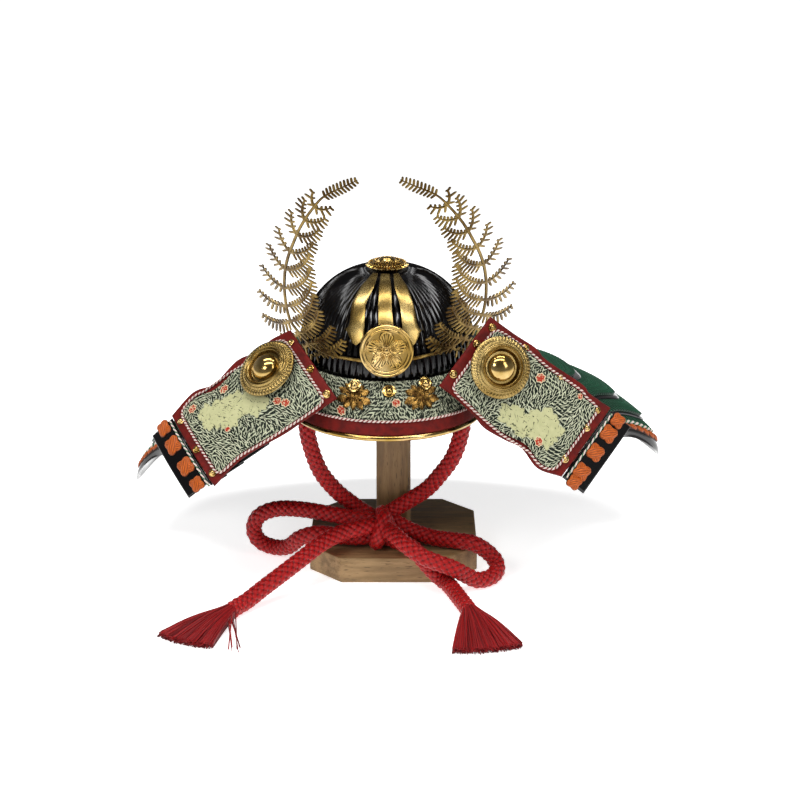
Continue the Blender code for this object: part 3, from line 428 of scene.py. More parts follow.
def lacquer_material():
    """Urushi lacquer: several polished black coats, so a hard mirror gloss with faint waves in it."""
    material, tree, shader = new_material("polished_black_lacquer", Base_Color="#040304", IOR=1.40,
                                          Coat_Weight=0.15, Coat_Roughness=0.04)
    place = add_node(tree, "TexCoord", output="Object")
    marks = add_node(tree, "TexNoise", {"Vector": place, "Scale": 900.0, "Detail": 4.0, "Roughness": 0.55})
    gloss = add_node(tree, "MapRange", {0: marks, 1: 0.3, 2: 0.75, 3: 0.07, 4: 0.2}, **SMOOTH)
    waves = add_node(tree, "TexNoise", {"Vector": place, "Scale": 160.0, "Detail": 2.0, "Roughness": 0.55})
    normal = add_node(tree, "Bump", {"Height": waves, "Strength": 0.12, "Distance": 0.0004})
    connect(tree, shader, Roughness=gloss, Normal=normal)
    return material


def leather_material(name, light, dark, roughness=0.55):
    """Dyed smooth leather: fine pebbled grain about 0.4 mm across and a soft sheen."""
    material, tree, shader = new_material(name, IOR=1.28)
    place = add_node(tree, "TexCoord", output="Object")
    dye = add_node(tree, "TexNoise", {"Vector": place, "Scale": 220.0, "Detail": 5.0, "Roughness": 0.55})
    tone = add_node(tree, "MapRange", {0: dye, 1: 0.3, 2: 0.7}, **SMOOTH)
    colour = add_node(tree, "Mix", {0: tone, 6: dark, 7: light}, **MIX)
    pebbles = add_node(tree, "TexVoronoi", {"Vector": place, "Scale": 2300.0}, output="Distance")
    gloss = add_node(tree, "MapRange", {0: pebbles, 1: 0.1, 2: 0.7, 3: roughness * 0.85, 4: roughness * 1.25},
                     **SMOOTH)
    normal = add_node(tree, "Bump", {"Height": pebbles, "Strength": 0.35, "Distance": -0.00012})
    connect(tree, shader, Base_Color=colour, Roughness=gloss, Normal=normal)
    return material


def printed_material():
    """Stencilled leather: pale leaves on black-green, small red flowers and one cream patch with dark flecks.
    The leaves, flowers and patch are fields that the points carry, cut to sharp edges here."""
    material, tree, shader = new_material("stencilled_leather", IOR=1.3, Roughness=0.6)
    place = add_node(tree, "TexCoord", output="Object")
    clouds, leaf_wear, cream_wear, speckle, grain = (
        add_node(tree, "TexNoise", {"Vector": place, "Scale": scale, **FINE})
        for scale in (240.0, 420.0, 300.0, 1100.0, 1800.0))
    leaf_field, fleck_field, patch_field, flower_field = (
        add_node(tree, "Attribute", output="Fac", attribute_name=label)
        for label in ("leaf", "fleck", "patch", "flower"))
    ground = add_node(tree, "Mix", {0: clouds, 6: "#0a0e0a", 7: "#142015"}, **MIX)
    pale = add_node(tree, "Mix", {0: leaf_wear, 6: "#9aa383", 7: "#d6d6ba"}, **MIX)
    cream = add_node(tree, "Mix", {0: cream_wear, 6: "#a3a478", 7: "#c4c294"}, **MIX)
    leaf = add_node(tree, "MapRange", {0: leaf_field, 1: 0.08, 2: 0.40}, **SMOOTH)
    leaves = add_node(tree, "Mix", {0: leaf, 6: ground, 7: pale}, **MIX)
    fleck = add_node(tree, "MapRange", {0: fleck_field, 1: 0.15, 2: 0.45}, **SMOOTH)
    flecked = add_node(tree, "Mix", {0: fleck, 6: cream, 7: "#3a3d28"}, **MIX)
    patch = add_node(tree, "MapRange", {0: patch_field, 1: 0.0, 2: 0.10}, **SMOOTH)
    patched = add_node(tree, "Mix", {0: patch, 6: leaves, 7: flecked}, **MIX)
    rim = add_node(tree, "MapRange", {0: flower_field, 1: -0.20, 2: -0.10}, **SMOOTH)
    rimmed = add_node(tree, "Mix", {0: rim, 6: patched, 7: "#d2c8a4"}, **MIX)
    spots = add_node(tree, "MapRange", {0: speckle, 1: 0.40, 2: 0.48}, **SMOOTH)
    red = add_node(tree, "Mix", {0: spots, 6: "#c9b894", 7: "#a42c18"}, **MIX)
    bloom = add_node(tree, "MapRange", {0: flower_field, 1: 0.0, 2: 0.08}, **SMOOTH)
    colour = add_node(tree, "Mix", {0: bloom, 6: rimmed, 7: red}, **MIX)
    normal = add_node(tree, "Bump", {"Height": grain, "Strength": 0.3, "Distance": 0.00008})
    connect(tree, shader, Base_Color=colour, Normal=normal)
    return material


def silk_material(name, light, dark, gap_shade, sheen=0.08, threads=26.0, roughness=0.5):
    """Braided silk or rayon: fine threads run along each strand, glossy on top, with painted shade in the
    gaps
    between strands: where depth is low the colour turns to the dark gap shade colour. The points carry
    depth (1 on top), across (the place over the strand's width) and run (millimetres along it)."""
    material, tree, shader = new_material(name, IOR=1.33, Sheen_Weight=sheen, Sheen_Roughness=0.4)
    across, run, depth = (add_node(tree, "Attribute", output="Fac", attribute_name=label)
                          for label in ("across", "run", "depth"))
    over = add_node(tree, "Math", {0: across, 1: threads}, operation="MULTIPLY")
    along = add_node(tree, "Math", {0: run, 1: 0.35}, operation="MULTIPLY")
    place = add_node(tree, "CombineXYZ", {0: over, 1: along})
    thread = add_node(tree, "TexNoise", {"Vector": place, "Scale": 1.0, "Detail": 2.0})
    tone = add_node(tree, "MapRange", {0: thread, 1: 0.32, 2: 0.68}, **SMOOTH)
    body = add_node(tree, "Mix", {0: tone, 6: dark, 7: light}, **MIX)
    # Painted shade: low depth, the gaps between strands and threads, turns the colour to the dark gap shade
    # colour
    height = add_node(tree, "MapRange", {0: depth, 1: 0.0, 2: 0.9}, **SMOOTH)
    colour = add_node(tree, "Mix", {0: height, 6: gap_shade, 7: body}, **MIX)
    gloss = add_node(tree, "MapRange", {0: thread, 1: 0.3, 2: 0.7, 3: roughness * 1.15, 4: roughness * 0.8},
                     **SMOOTH)
    normal = add_node(tree, "Bump", {"Height": thread, "Strength": 0.5, "Distance": 0.0002})
    connect(tree, shader, Base_Color=colour, Roughness=gloss, Normal=normal)
    return material


def wood_material(name, light, dark, stretch, ring=260.0):
    """Planed hardwood, oiled thinly: fine grain lines along the board and short darker pores."""
    material, tree, shader = new_material(name, IOR=1.45)
    place = add_node(tree, "TexCoord", output="Object")
    drawn = add_node(tree, "Mapping", {"Vector": place, "Scale": stretch})
    grain, broad, pits = (
        add_node(tree, "TexNoise", {"Vector": drawn, "Scale": scale, "Detail": detail, "Roughness": rough})
        for scale, detail, rough in ((ring, 5.0, 0.6), (ring / 7, 3.0, 0.55), (ring * 5, 2.0, 0.55)))
    lines = add_node(tree, "MapRange", {0: grain, 1: 0.35, 2: 0.65}, **SMOOTH)
    warm = add_node(tree, "Mix", {0: lines, 6: dark, 7: light}, **MIX)
    clouds = add_node(tree, "MapRange", {0: broad, 1: 0.35, 2: 0.7, 4: 0.35}, **SMOOTH)
    toned = add_node(tree, "Mix", {0: clouds, 6: warm, 7: dark}, **MIX)
    pores = add_node(tree, "MapRange", {0: pits, 1: 0.60, 2: 0.72}, **SMOOTH)
    colour = add_node(tree, "Mix", {0: pores, 6: toned, 7: "#5a472c"}, **MIX)
    gloss = add_node(tree, "MapRange", {0: grain, 1: 0.3, 2: 0.7, 3: 0.5, 4: 0.68}, **SMOOTH)
    normal = add_node(tree, "Bump", {"Height": grain, "Strength": 0.25, "Distance": 0.00015})
    connect(tree, shader, Base_Color=colour, Roughness=gloss, Normal=normal)
    return material


LACQUER = lacquer_material()
# Brushed and gold-plated brass sheet: fine upright lines blur the reflections sideways (straps, boss rings)
STRAP_GOLD = metal("brushed_gold_plate", "#aa935e", "#7f6838", 0.25, 900.0, (6.0, 6.0, 0.3), 0.00001)
# Gold-plated pressed brass, polished
BRIGHT_GOLD = metal("polished_gold_plate", "#ccb078", "#9a7c3e", 0.14)
# Etched sheet brass with thin gilding that shows darker metal on its cut edges
FERN_GOLD = metal("etched_gilt_sheet", "#937a44", "#523c18", 0.28, 700.0, bump=0.00003, patches=90.0)
# Old gilding rubbed down to brown copper
AGED_GOLD = metal("darkened_gilding", "#8f6e38", "#402a12", 0.30, 1200.0, bump=0.00006, patches=260.0)
RED_LEATHER = leather_material("dyed_red_leather", "#6b1009", "#4e0b07")
PRINT = printed_material()
# The third colour of each silk is painted shade for the gaps between its strands and threads
CORD_SILK = silk_material("braided_red_silk", "#bc1212", "#8a080a", "#340305", roughness=0.36)
TASSEL_SILK = silk_material("cut_red_silk_threads", "#9a080c", "#660307", "#240104", sheen=0.1)
WHITE_PLY = silk_material("white_cotton_ply", "#e9dcd2", "#bfa9a0", "#7a5a55", sheen=0.1, roughness=0.7)
RED_PLY = silk_material("dark_red_cotton_ply", "#8a2a28", "#5c1414", "#300808", sheen=0.1, roughness=0.7)
GREEN_LACE = silk_material("green_lacing_silk", "#1a6241", "#062d1e", "#000402", threads=5.0)
GREEN_PLY = silk_material("green_stitch_ply", "#3f7d58", "#1f4a36", "#0a2014", sheen=0.1, roughness=0.7)
ORANGE_BRAID = silk_material("orange_flat_braid", "#cc6216", "#98420c", "#341404", threads=9.0)
BASE_WOOD = wood_material("planed_board_along_x", "#a98a60", "#80653f", (0.12, 1.0, 1.0))
POST_WOOD = wood_material("planed_post_along_z", "#9a7a52", "#765a38", (1.0, 1.0, 0.1))


# Camera and cords come first


def make_camera():
    """A long lens from in front and about 19 degrees above, level with the photograph's frame."""
    data = bpy.data.cameras.new("view_from_front")
    data.lens, data.sensor_width = 88.0, 36.0   # millimetres; 36 * 1955 / 800 pixels is 88
    data.clip_start = 0.05
    camera = bpy.data.objects.new("view_from_front", data)
    camera.location = (0.004, -1.1231, 0.4933)
    camera.rotation_euler = (math.radians(70.7), 0.0, 0.0)
    bpy.context.scene.collection.objects.link(camera)
    bpy.context.scene.camera = camera


# Cord routes in millimetres, chosen one by one: helmet to knot, round each loop, and each tail to its tassel
CORD_ROUTES = {
    "cord_strand_left": (
        (-44.2, -22, 138), (-44.4, -22.5, 130), (-47.5, -24, 119), (-51, -25, 107), (-51.8, -25, 93),
        (-50, -24, 80),
        (-44.4, -20.5, 62), (-35.5, -15.4, 47.5), (-27, -12.4, 38.6), (-19.5, -13.6, 33.2),
        (-12, -18.5, 30.5),
    ),
    "cord_strand_right": (
        (37, -22, 138), (37.2, -22.5, 130), (39.4, -24, 119), (41.6, -25, 106), (41.4, -25, 92),
        (36.3, -24, 73),
        (27.2, -19.6, 57.5), (20, -16.4, 48), (11, -15.9, 41.6), (3.2, -17.2, 37),
        (-4.5, -20.5, 33.2),
    ),
    "cord_loop_left": (
        (-10.5, -25.8, 31), (-18.6, -25.4, 32.2), (-27, -24.8, 33), (-37.6, -22.4, 34.2),
        (-56.7, -15.6, 34.6), (-72, -10, 32.5),
        (-83, -6.5, 26.4), (-86.6, -5, 17.1), (-83, -5.5, 9.2), (-74, -8, 6.2), (-64.6, -15.5, 9.8),
        (-56.8, -24.4, 19.4), (-45.5, -28.8, 24.2), (-31, -29.4, 22.6), (-18.6, -29.4, 22.2),
        (-10.5, -28.5, 24),
    ),
    "cord_tail_left": (
        (-8.5, -30, 30.5), (-15.0, -34.6, 31.8), (-22, -38.2, 31.4), (-31, -41, 30), (-42.9, -49, 26.3),
        (-54.5, -61, 21.5),
        (-65.8, -72, 16.5), (-76.5, -80, 11), (-85, -87, 6.6), (-90.6, -93, 5.4), (-94.2, -99.4, 5.4),
    ),
    "cord_loop_right": (
        (-6, -22.5, 31.4), (0.6, -22.8, 29.4), (11.3, -25.6, 24.6), (24.4, -30, 22), (37.3, -34, 21.9),
        (48.5, -35.8, 20.6),
        (57.5, -35.8, 14.6), (62.4, -39.5, 9.2), (61.6, -46.5, 6), (56.6, -53, 5.4), (50, -57, 6.2),
        (43.4, -60.6, 10.8),
        (35.4, -65.2, 17.4), (26, -66, 21.4), (16.8, -63.6, 24.4), (8.2, -56.8, 28), (2.4, -48.2, 30.2),
        (-2.2, -40.6, 30.8), (-6.2, -33, 30),
    ),
    "cord_tail_right": (
        (-6, -29, 23.5), (0, -32.6, 21.6), (5, -37, 21.6), (10, -43.2, 22), (13.6, -49.4, 21.6),
        (17.4, -53.6, 18.2), (23, -55.4, 12),
        (28.4, -57, 7), (32.5, -61, 5.4), (35.6, -70, 5.4), (38.6, -80, 5.4), (42, -91, 5.4),
        (44.2, -98.8, 5.4),
    ),
}
BRAID_TURN = 27 * MM       # one strand's full turn round the cord
BRAID_STRANDS = 6          # strands each way round


def braid(path, radius, ring=False, keep=None, around=72):
    """A round braid as one skin. Strands of one way lie where a = n(angle/turn - run/length) is whole,
    those of the other way where b = n(angle/turn + run/length) is whole. Each strand has an arched top and
    swings over and under by the cosine of the other's place, and the skin's height is the higher of the
    two."""
    run = run_along(path)
    total = run[-1] + (np.linalg.norm(path[0] - path[-1]) if ring else 0)
    pitch = total / max(1, round(total / BRAID_TURN * BRAID_STRANDS)) * BRAID_STRANDS if ring else BRAID_TURN
    angle, along = np.meshgrid(full_turn(around), run)
    a = BRAID_STRANDS * (angle / math.tau - along / pitch)
    b = BRAID_STRANDS * (angle / math.tau + along / pitch)
    over_a = np.cos(np.pi * b) * np.cos(np.pi * np.round(a))
    over_b = -np.cos(np.pi * a) * np.cos(np.pi * np.round(b))
    arch_a = np.sqrt(np.clip(1 - (2.1 * (a - np.round(a))) ** 2, 0, 1))
    arch_b = np.sqrt(np.clip(1 - (2.1 * (b - np.round(b))) ** 2, 0, 1))
    top_a = 0.115 * over_a + 0.16 * arch_a
    top_b = 0.115 * over_b + 0.16 * arch_b
    height = np.maximum(top_a, top_b)
    across = np.where(top_a > top_b, a - np.round(a), b - np.round(b) + 7)
    grid = swept(path, radius * (0.755 + height), angle, path_frames(path, ring, keep))
    solid = looped(grid) if ring else capped(grid)
    widen = np.ravel if ring else with_ends
    # depth follows the skin's height, so the low places between strands are painted dark as painted shade
    values = dict(depth=widen(np.clip(height / 0.27, 0, 1)), across=widen(across), run=widen(along / MM))
    return solid, values


def make_cords():
    """Each stretch of the braided cord; the knot is short braided rings and the tassels fans of threads."""
    for name, route in CORD_ROUTES.items():
        path = smooth_curve(np.array(route) * MM, 400)
        fine = even_path(path, 0.36 * MM)
        solid, values = braid(fine, CORD_RADIUS)
        piece(name + "_braid", Shape().add(solid, **values), [CORD_SILK], [name],
                             80)
    knot = Shape()
    turn = full_turn(160)
    for centre, tilt, yaw, radii, thick in (
            ((-8.2, -30.6, 27.8), 15, 0, (7.4, 8.8), 4.5), ((-3.8, -25.6, 30.4), -24, 14, (5.6, 7.2), 4.2)):
        tilt, yaw = math.radians(tilt), math.radians(yaw)
        flat = np.stack([np.zeros(160), radii[0] * np.cos(turn), radii[1] * np.sin(turn)], axis=-1)
        lean = np.array([[math.cos(tilt), 0, math.sin(tilt)], [0, 1, 0],
                         [-math.sin(tilt), 0, math.cos(tilt)]])
        swing = np.array([[math.cos(yaw), -math.sin(yaw), 0], [math.sin(yaw), math.cos(yaw), 0], [0, 0, 1]])
        ring = (np.array(centre) + flat @ lean.T @ swing.T) * MM
        axis = swing @ lean @ np.array([1.0, 0.0, 0.0])
        solid, values = braid(ring, thick * MM, ring=True, keep=axis, around=60)
        knot.add(solid, **values)
    # A core closes the middle of the wraps; its low depth paints it in the dark gap colour as painted shade
    knot.add(balls([np.array([-7.5, -26.5, 28.4]) * MM], 5.2 * MM, rings=10, around=16), depth=0.2)
    knot = piece("bow_knot_wraps", knot, [CORD_SILK], ["cord_knot"], 80)
    tassels = [make_tassel(row) for row in TASSELS]


# Tassels: root and the two outer corners of the spread threads, in millimetres; strays leave towards a side
TASSELS = (
    dict(name="tassel_left", root=(-94.2, -99.4, 5.4), corners=((-133, -121), (-101, -137)), strays=7),
    dict(name="tassel_right", root=(44.2, -98.8, 5.4), corners=((33, -142.5), (73, -135.5)), strays=0),
)
TASSEL_THREADS = 620


def make_tassel(row):
    """A fan of cut threads. Thread k leaves the cord's end at a place on its disc and sinks to the floor at
    its own place between the two corners: place = root + (end - root) * t, with a height that falls as (1 -
    t)^1.6."""
    rng = np.random.default_rng(11)
    root = np.array(row["root"]) * MM
    left, right = (np.array([*corner, 2.5]) * MM for corner in row["corners"])
    heading = unit(((left + right) / 2 - root) * [1, 1, 0])
    sideways = unit(right - left)
    share = np.clip(np.linspace(0, 1, TASSEL_THREADS) + rng.normal(0, 0.01, TASSEL_THREADS), 0, 1)
    share = 0.5 - 0.5 * np.cos(np.pi * share) * 0.35 - 0.325 * (1 - 2 * share)
    level = rng.uniform(0, 1, TASSEL_THREADS)
    reach = 1 + rng.normal(0, 0.012, TASSEL_THREADS) - 0.03 * level
    ends = left + (right - left) * share[:, None]
    ends = root + (ends - root) * reach[:, None]
    bulge = 3.2 * MM * (1 - (2 * share - 1) ** 2)
    ends = ends + heading * bulge[:, None]
    ends[:, 2] = 0.5 * MM + level * 3.2 * MM
    spot = (share - 0.5) * 2 * 4.0 * MM
    starts = root + sideways * spot[:, None] - heading * 0.5 * MM
    starts[:, 2] = np.clip(root[2] + (2 * level - 1) * np.sqrt(np.clip((4.6 * MM) ** 2 - spot**2, 0, 1)),
                           0.6 * MM, 1)
    if row["strays"]:
        loose = rng.choice(TASSEL_THREADS - 80, row["strays"], replace=False) + 70
        away = rng.uniform(6, 15, row["strays"])[:, None] * MM
        further = heading * rng.uniform(-9, 0, (row["strays"], 1)) * MM
        ends[loose] = right + unit(right - left) * away + further
        ends[loose, 2] = 0.5 * MM
    t = np.linspace(0, 1, 9)[None, :, None]
    flat = starts[:, None] * (1 - t) + ends[:, None] * t
    flat[..., 2] = ends[:, None, 2] + (starts[:, None, 2] - ends[:, None, 2]) * (1 - t[..., 0]) ** 1.6
    arch = np.sin(np.pi * t[..., 0]) * (0.8 * MM + 1.8 * MM * level[:, None])
    flat[..., 2] += arch
    flat += np.sin(np.pi * t) * rng.normal(0, 0.25 * MM, (TASSEL_THREADS, 1, 3)) * [1, 1, 0]
    ahead = unit(np.gradient(flat, axis=1))
    side = unit(np.cross(ahead, [0, 0, 1.0]))
    up = np.cross(side, ahead)
    thick = 0.30 * MM * (1 + 0.25 * rng.normal(0, 1, TASSEL_THREADS)).clip(0.7, 1.4)
    around = full_turn(5)
    ring = (np.cos(around)[:, None] * side[:, :, None] + np.sin(around)[:, None] * -up[:, :, None])
    grid = flat[:, :, None] + thick[:, None, None, None] * ring
    points, faces = capped(grid[0])
    ends_added = np.concatenate([grid.reshape(TASSEL_THREADS, -1, 3), grid[:, :1].mean(2),
                                 grid[:, -1:].mean(2)], 1)
    shape = Shape()
    per_thread = len(points)
    tone = np.repeat(rng.uniform(0, 40, TASSEL_THREADS), per_thread)
    shade = np.repeat(0.35 + 0.65 * level, per_thread)
    shape.add(repeated(ends_added, faces), across=tone, run=tone, depth=shade)
    # A thin body under the threads keeps the fan closed; its low depth paints it dark as painted shade under
    # the threads
    line = np.linspace(0, 1, 12)[:, None]
    middle = root * (1 - line) + ((left + right) / 2) * line * 0.985 + root * 0.015 * line
    middle[:, 2] = (1 - line[:, 0]) * 4.4 * MM + line[:, 0] * 1.6 * MM
    half = 4.2 * MM + (np.linalg.norm(right - left) / 2 * 0.93 - 4.2 * MM) * line
    turn = full_turn(24)
    depth = (3.9 - 2.5 * line) * MM
    body = (middle[:, None] - (np.cos(turn) * half)[..., None] * sideways
            + (np.sin(turn) * depth)[..., None] * np.array([0, 0, 1.0]))
    shape.add(capped(body), depth=0.25)
    return piece(row["name"] + "_threads", shape, [TASSEL_SILK], [row["name"]], 80)


make_camera()
make_cords()


# Stand


def rounded_board(width, depth, low, high, cut, edge):
    """A board with cut corners: the outline is carried up a profile that draws in by the edge's radius at
    both ends, in - edge * (1 - cos)."""
    half_w, half_d = width / 2, depth / 2
    outline = np.array([(half_w, -half_d + cut), (half_w, half_d - cut), (half_w - cut, half_d),
                        (-half_w + cut, half_d),
                        (-half_w, half_d - cut), (-half_w, -half_d + cut), (-half_w + cut, -half_d),
                        (half_w - cut, -half_d)])
    before = unit(outline - np.roll(outline, 1, axis=0))
    after = unit(np.roll(outline, -1, axis=0) - outline)
    small = np.minimum(0.8 * MM, 0.3 * cut)
    corners = np.stack([outline - before * small, outline - (before - after) * small * 0.15,
                        outline + after * small], 1)
    corners = corners.reshape(-1, 2)
    angle = np.linspace(0, math.pi / 2, 5)
    inward = np.concatenate([edge * (1 - np.sin(angle)), edge * (1 - np.cos(angle))])
    height = np.concatenate([high - edge * (1 - np.cos(angle)), low + edge * (1 - np.sin(angle))])
    scale = 1 - inward[:, None, None] / np.array([half_w, half_d])
    rows = np.concatenate([corners[None] * scale,
                           np.broadcast_to(height[:, None, None], (10, len(corners), 1))], -1)
    return capped(rows)


def make_stand():
    """Base board and post with rounded edges; the hidden head rest keeps its CAD mesh."""
    base = Shape().add(rounded_board(BASE_WIDTH, BASE_DEPTH, 0, BASE_THICKNESS, BASE_CUT, 0.7 * MM))
    piece("base_board", base, [BASE_WOOD], ["stand_base"], 50)
    low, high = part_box("stand_post")
    post = Shape().add(rounded_board(POST_SIDE, POST_SIDE, low[2], high[2], POST_CHAMFER, 0.5 * MM))
    piece("post", post, [POST_WOOD], ["stand_post"], 50)
    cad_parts["stand_head_rest"].material_slots[0].material = POST_WOOD
    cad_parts["crest_holder"].material_slots[0].material = AGED_GOLD


# Bowl
RIBS = 86
BOWL_FULLNESS = 0.86      # power of the dome's radius: 1 is an ellipsoid, less has fuller shoulders


def bowl_front(x, z, proud):
    """Y of the bowl's front, grown outwards by proud, at a place (x from the helmet's middle, z)."""
    across = x / (BOWL_HALF_WIDTH + proud)
    up = (z - BOWL_WIDEST_Z) / (BOWL_HEIGHT + proud)
    swell = np.clip(1 - up**2, 0, 1) ** BOWL_FULLNESS
    return -(BOWL_HALF_DEPTH + proud) * np.sqrt(np.clip(swell - across**2, 0, 1))


def make_bowl():
    """Half an oval dome whose outside carries narrow raised ribs from the crown to the rim: the radius
    grows by 0.85 mm * cos^14 of the rib's angle, fading in below the crown ornament. Its foot is a short
    upright skirt."""
    columns = RIBS * 12
    turn = full_turn(columns)
    down = np.concatenate([np.radians(np.linspace(2, 90, 52)), np.full(3, math.pi / 2)])
    fall = np.concatenate([np.zeros(52), np.array([0.35, 0.75, 1.0]) * 8 * MM])
    fade = np.clip((np.degrees(down) - 9) / 14, 0, 1)
    rib = np.abs(np.cos(RIBS / 2 * turn)) ** 14
    hollow = np.cos(RIBS * turn)
    proud = -0.35 * MM + fade[:, None] * (0.85 * MM * rib - 0.12 * MM * (1 - hollow))[None]
    radial = np.sin(down)[:, None] ** BOWL_FULLNESS
    outer = np.stack([HELMET_X + (BOWL_HALF_WIDTH + proud) * radial * np.cos(turn),
                      (BOWL_HALF_DEPTH + proud) * radial * np.sin(turn),
                      BOWL_WIDEST_Z + (BOWL_HEIGHT + proud) * np.cos(down)[:, None] - fall[:, None]], axis=-1)
    wall = -1.6 * MM
    back = down[::-3]
    lower = fall[::-3]
    radial = np.sin(back)[:, None] ** BOWL_FULLNESS
    level = BOWL_WIDEST_Z + (BOWL_HEIGHT + wall) * np.cos(back) - lower
    inner = np.stack([HELMET_X + (BOWL_HALF_WIDTH + wall) * radial * np.cos(turn),
                      (BOWL_HALF_DEPTH + wall) * radial * np.sin(turn),
                      np.broadcast_to(level[:, None], (len(back), columns))], axis=-1)
    shape = Shape().add(capped(np.concatenate([outer, inner])))
    piece("ribbed_bowl", shape, [LACQUER], ["helmet_bowl"], 60)


def make_crown_ornament():
    """Stacked rosettes at the crown: a wide scalloped plate, a petal ring with beads, and a small ring and
    dome."""
    def on_crown(points):
        return points + [HELMET_X, 0, CROWN_Z]

    def wide(r, a):
        share = r / (12.9 * MM)
        petals = np.abs(np.cos(12 * a))
        edge = 1.5 * np.clip(share - 0.62, 0, 1) * 2
        return (2.5 + 0.55 * petals * np.clip((share - 0.5) * 3, 0, 1) - edge) * MM

    def middle(r, a):
        share = r / (8.8 * MM)
        edge = 1.1 * np.clip(share - 0.6, 0, 1) * 2
        return (4.0 + 0.5 * np.abs(np.cos(8 * a)) * (share > 0.45) - edge) * MM

    def top(r, a):
        share = r / (5.0 * MM)
        ring = np.exp(-((share - 0.78) / 0.10) ** 2) * 0.7
        dome = 1.3 * np.sqrt(np.clip(1 - (share / 0.62) ** 2, 0, 1))
        return (4.9 + ring + dome - 0.6 * np.clip(share - 0.88, 0, 1) * 6) * MM

    shape = Shape()
    for radius, height, back, radial, lobes in ((12.9, wide, 1.3, 24, 24), (8.8, middle, 2.6, 18, 16),
                                                (5.0, top, 3.9, 24, 0)):
        def place(points, lobes=lobes, radius=radius):
            angle = np.arctan2(points[..., 1], points[..., 0])
            share = np.hypot(points[..., 0], points[..., 1]) / (radius * MM)
            scallop = np.ones_like(angle)
            if lobes:
                scallop = 1 - 0.05 * (1 - np.abs(np.cos(lobes / 2 * angle))) * share**4
            return on_crown(points * np.stack([scallop, scallop, np.ones_like(scallop)], -1))
        shape.add(disc_relief(radius * MM, height, back * MM, radial, 144, place))
    for radius, height, count, size in ((10.9, 2.7, 44, 0.62), (7.3, 4.2, 30, 0.5)):
        turn = full_turn(count)
        ring = np.column_stack([radius * np.cos(turn), radius * np.sin(turn), np.full(count, height)]) * MM
        shape.add(balls(on_crown(ring), size * MM))
    # The collar that the plates stand on
    shape.add(capped(on_crown(turned_grid([5.5, 5.5], [1.6, 0.2], 32) * MM)))
    piece("crown_rosettes", shape, [BRIGHT_GOLD], ["crown_plate", "crown_dome"], 50)


# Straps: shares of the bowl's half width, as places at the top, the middle and the end, and half widths
STRAPS = (
    dict(name="strap_left", top=-0.13, middle=-0.31, end=-0.34, top_half=0.030, lobe=-1),
    dict(name="strap_centre", top=-0.02, middle=-0.02, end=0.0, top_half=0.050, lobe=0),
    dict(name="strap_right", top=0.10, middle=0.22, end=0.28, top_half=0.030, lobe=1),
)


def make_straps():
    """Flat gilded straps that lie on the bowl. Across a strap the place is middle + side * half width; near
    the lower end the half width swells into side lobes and then runs in to a point."""
    turns = np.radians(np.concatenate([np.linspace(14, 52, 40), np.linspace(52.6, 69, 44)]))
    share = (turns - turns[0]) / (turns[-1] - turns[0])
    spot = np.array([-1, -0.97, -0.9, -0.6, 0, 0.6, 0.9, 0.97, 1])
    drop = np.array([0.28, 0.1, 0, 0, 0, 0, 0, 0.1, 0.28]) * MM
    for row in STRAPS:
        place = np.interp(share, (0, 0.5, 1), (row["top"], row["middle"], row["end"])) * BOWL_HALF_WIDTH
        body = np.interp(share, (0, 0.22, 0.5, 0.74, 0.80, 0.84, 0.87, 0.90, 0.95, 1),
                         (row["top_half"], 0.070, 0.076, 0.084, 0.098, 0.125, 0.098, 0.088, 0.06, 0.012))
        inner = np.interp(share, (0, 0.22, 0.5, 0.74, 0.90, 0.95, 1),
                          (row["top_half"], 0.070, 0.076, 0.082, 0.086, 0.06,
                                                                       0.012))
        left = (inner if row["lobe"] > 0 else body) * BOWL_HALF_WIDTH
        right = (inner if row["lobe"] < 0 else body) * BOWL_HALF_WIDTH
        x = place[:, None] + np.where(spot < 0, left[:, None] * spot, right[:, None] * spot)

        def layer(proud):
            z = BOWL_WIDEST_Z + (BOWL_HEIGHT + proud) * np.cos(turns)[:, None]
            return np.stack([HELMET_X + x, bowl_front(x, z, proud), z + 0 * x], axis=-1)

        top_lift = np.clip(1 - share * 9, 0, 1)[:, None] * 0.8 * MM
        shape = Shape().add(slab(layer(1.45 * MM - drop[None] + top_lift),
                                 layer(0.35 * MM + drop[None] + top_lift)))
        piece(row["name"] + "_plate", shape, [STRAP_GOLD], [row["name"]], 30)


# Crest


def crest_height(r, a):
    """Relief of the medallion in metres: two raised rings at the rim, then a flower of five veined petals.
    A petal is a dome round its own middle; its veins are a cosine of the angle seen from the flower's
    middle."""
    share = r / CREST_RADIUS
    rings = 0.55 * np.exp(-((share - 0.95) / 0.035) ** 2) + 0.45 * np.exp(-((share - 0.82) / 0.022) ** 2)
    x, y = share * np.cos(a), share * np.sin(a)
    petal = np.zeros_like(r)
    for number in range(5):
        turn = math.tau * (number + 0.25) / 5
        px, py = x * math.cos(turn) + y * math.sin(turn), -x * math.sin(turn) + y * math.cos(turn)
        gone = np.hypot((px - 0.45) / 0.33, py / 0.275)
        body = np.clip(1 - gone**4, 0, 1)
        vein = 0.5 + 0.5 * np.cos(34 * np.arctan2(py, np.maximum(px - 0.04, 0.02)))
        edge = np.exp(-((gone - 0.9) / 0.09) ** 2)
        petal = np.maximum(petal, (body > 0) * (0.30 + 0.34 * vein * body + 0.30 * edge))
    heart = 0.75 * np.sqrt(np.clip(1 - (share / 0.11) ** 2, 0, 1))
    dots = 0.4 * np.exp(-(((share - 0.16) / 0.03) ** 2)) * (0.5 + 0.5 * np.cos(12 * a))
    return (2.0 + rings + np.maximum(np.maximum(petal, heart), dots) * 1.15) * MM


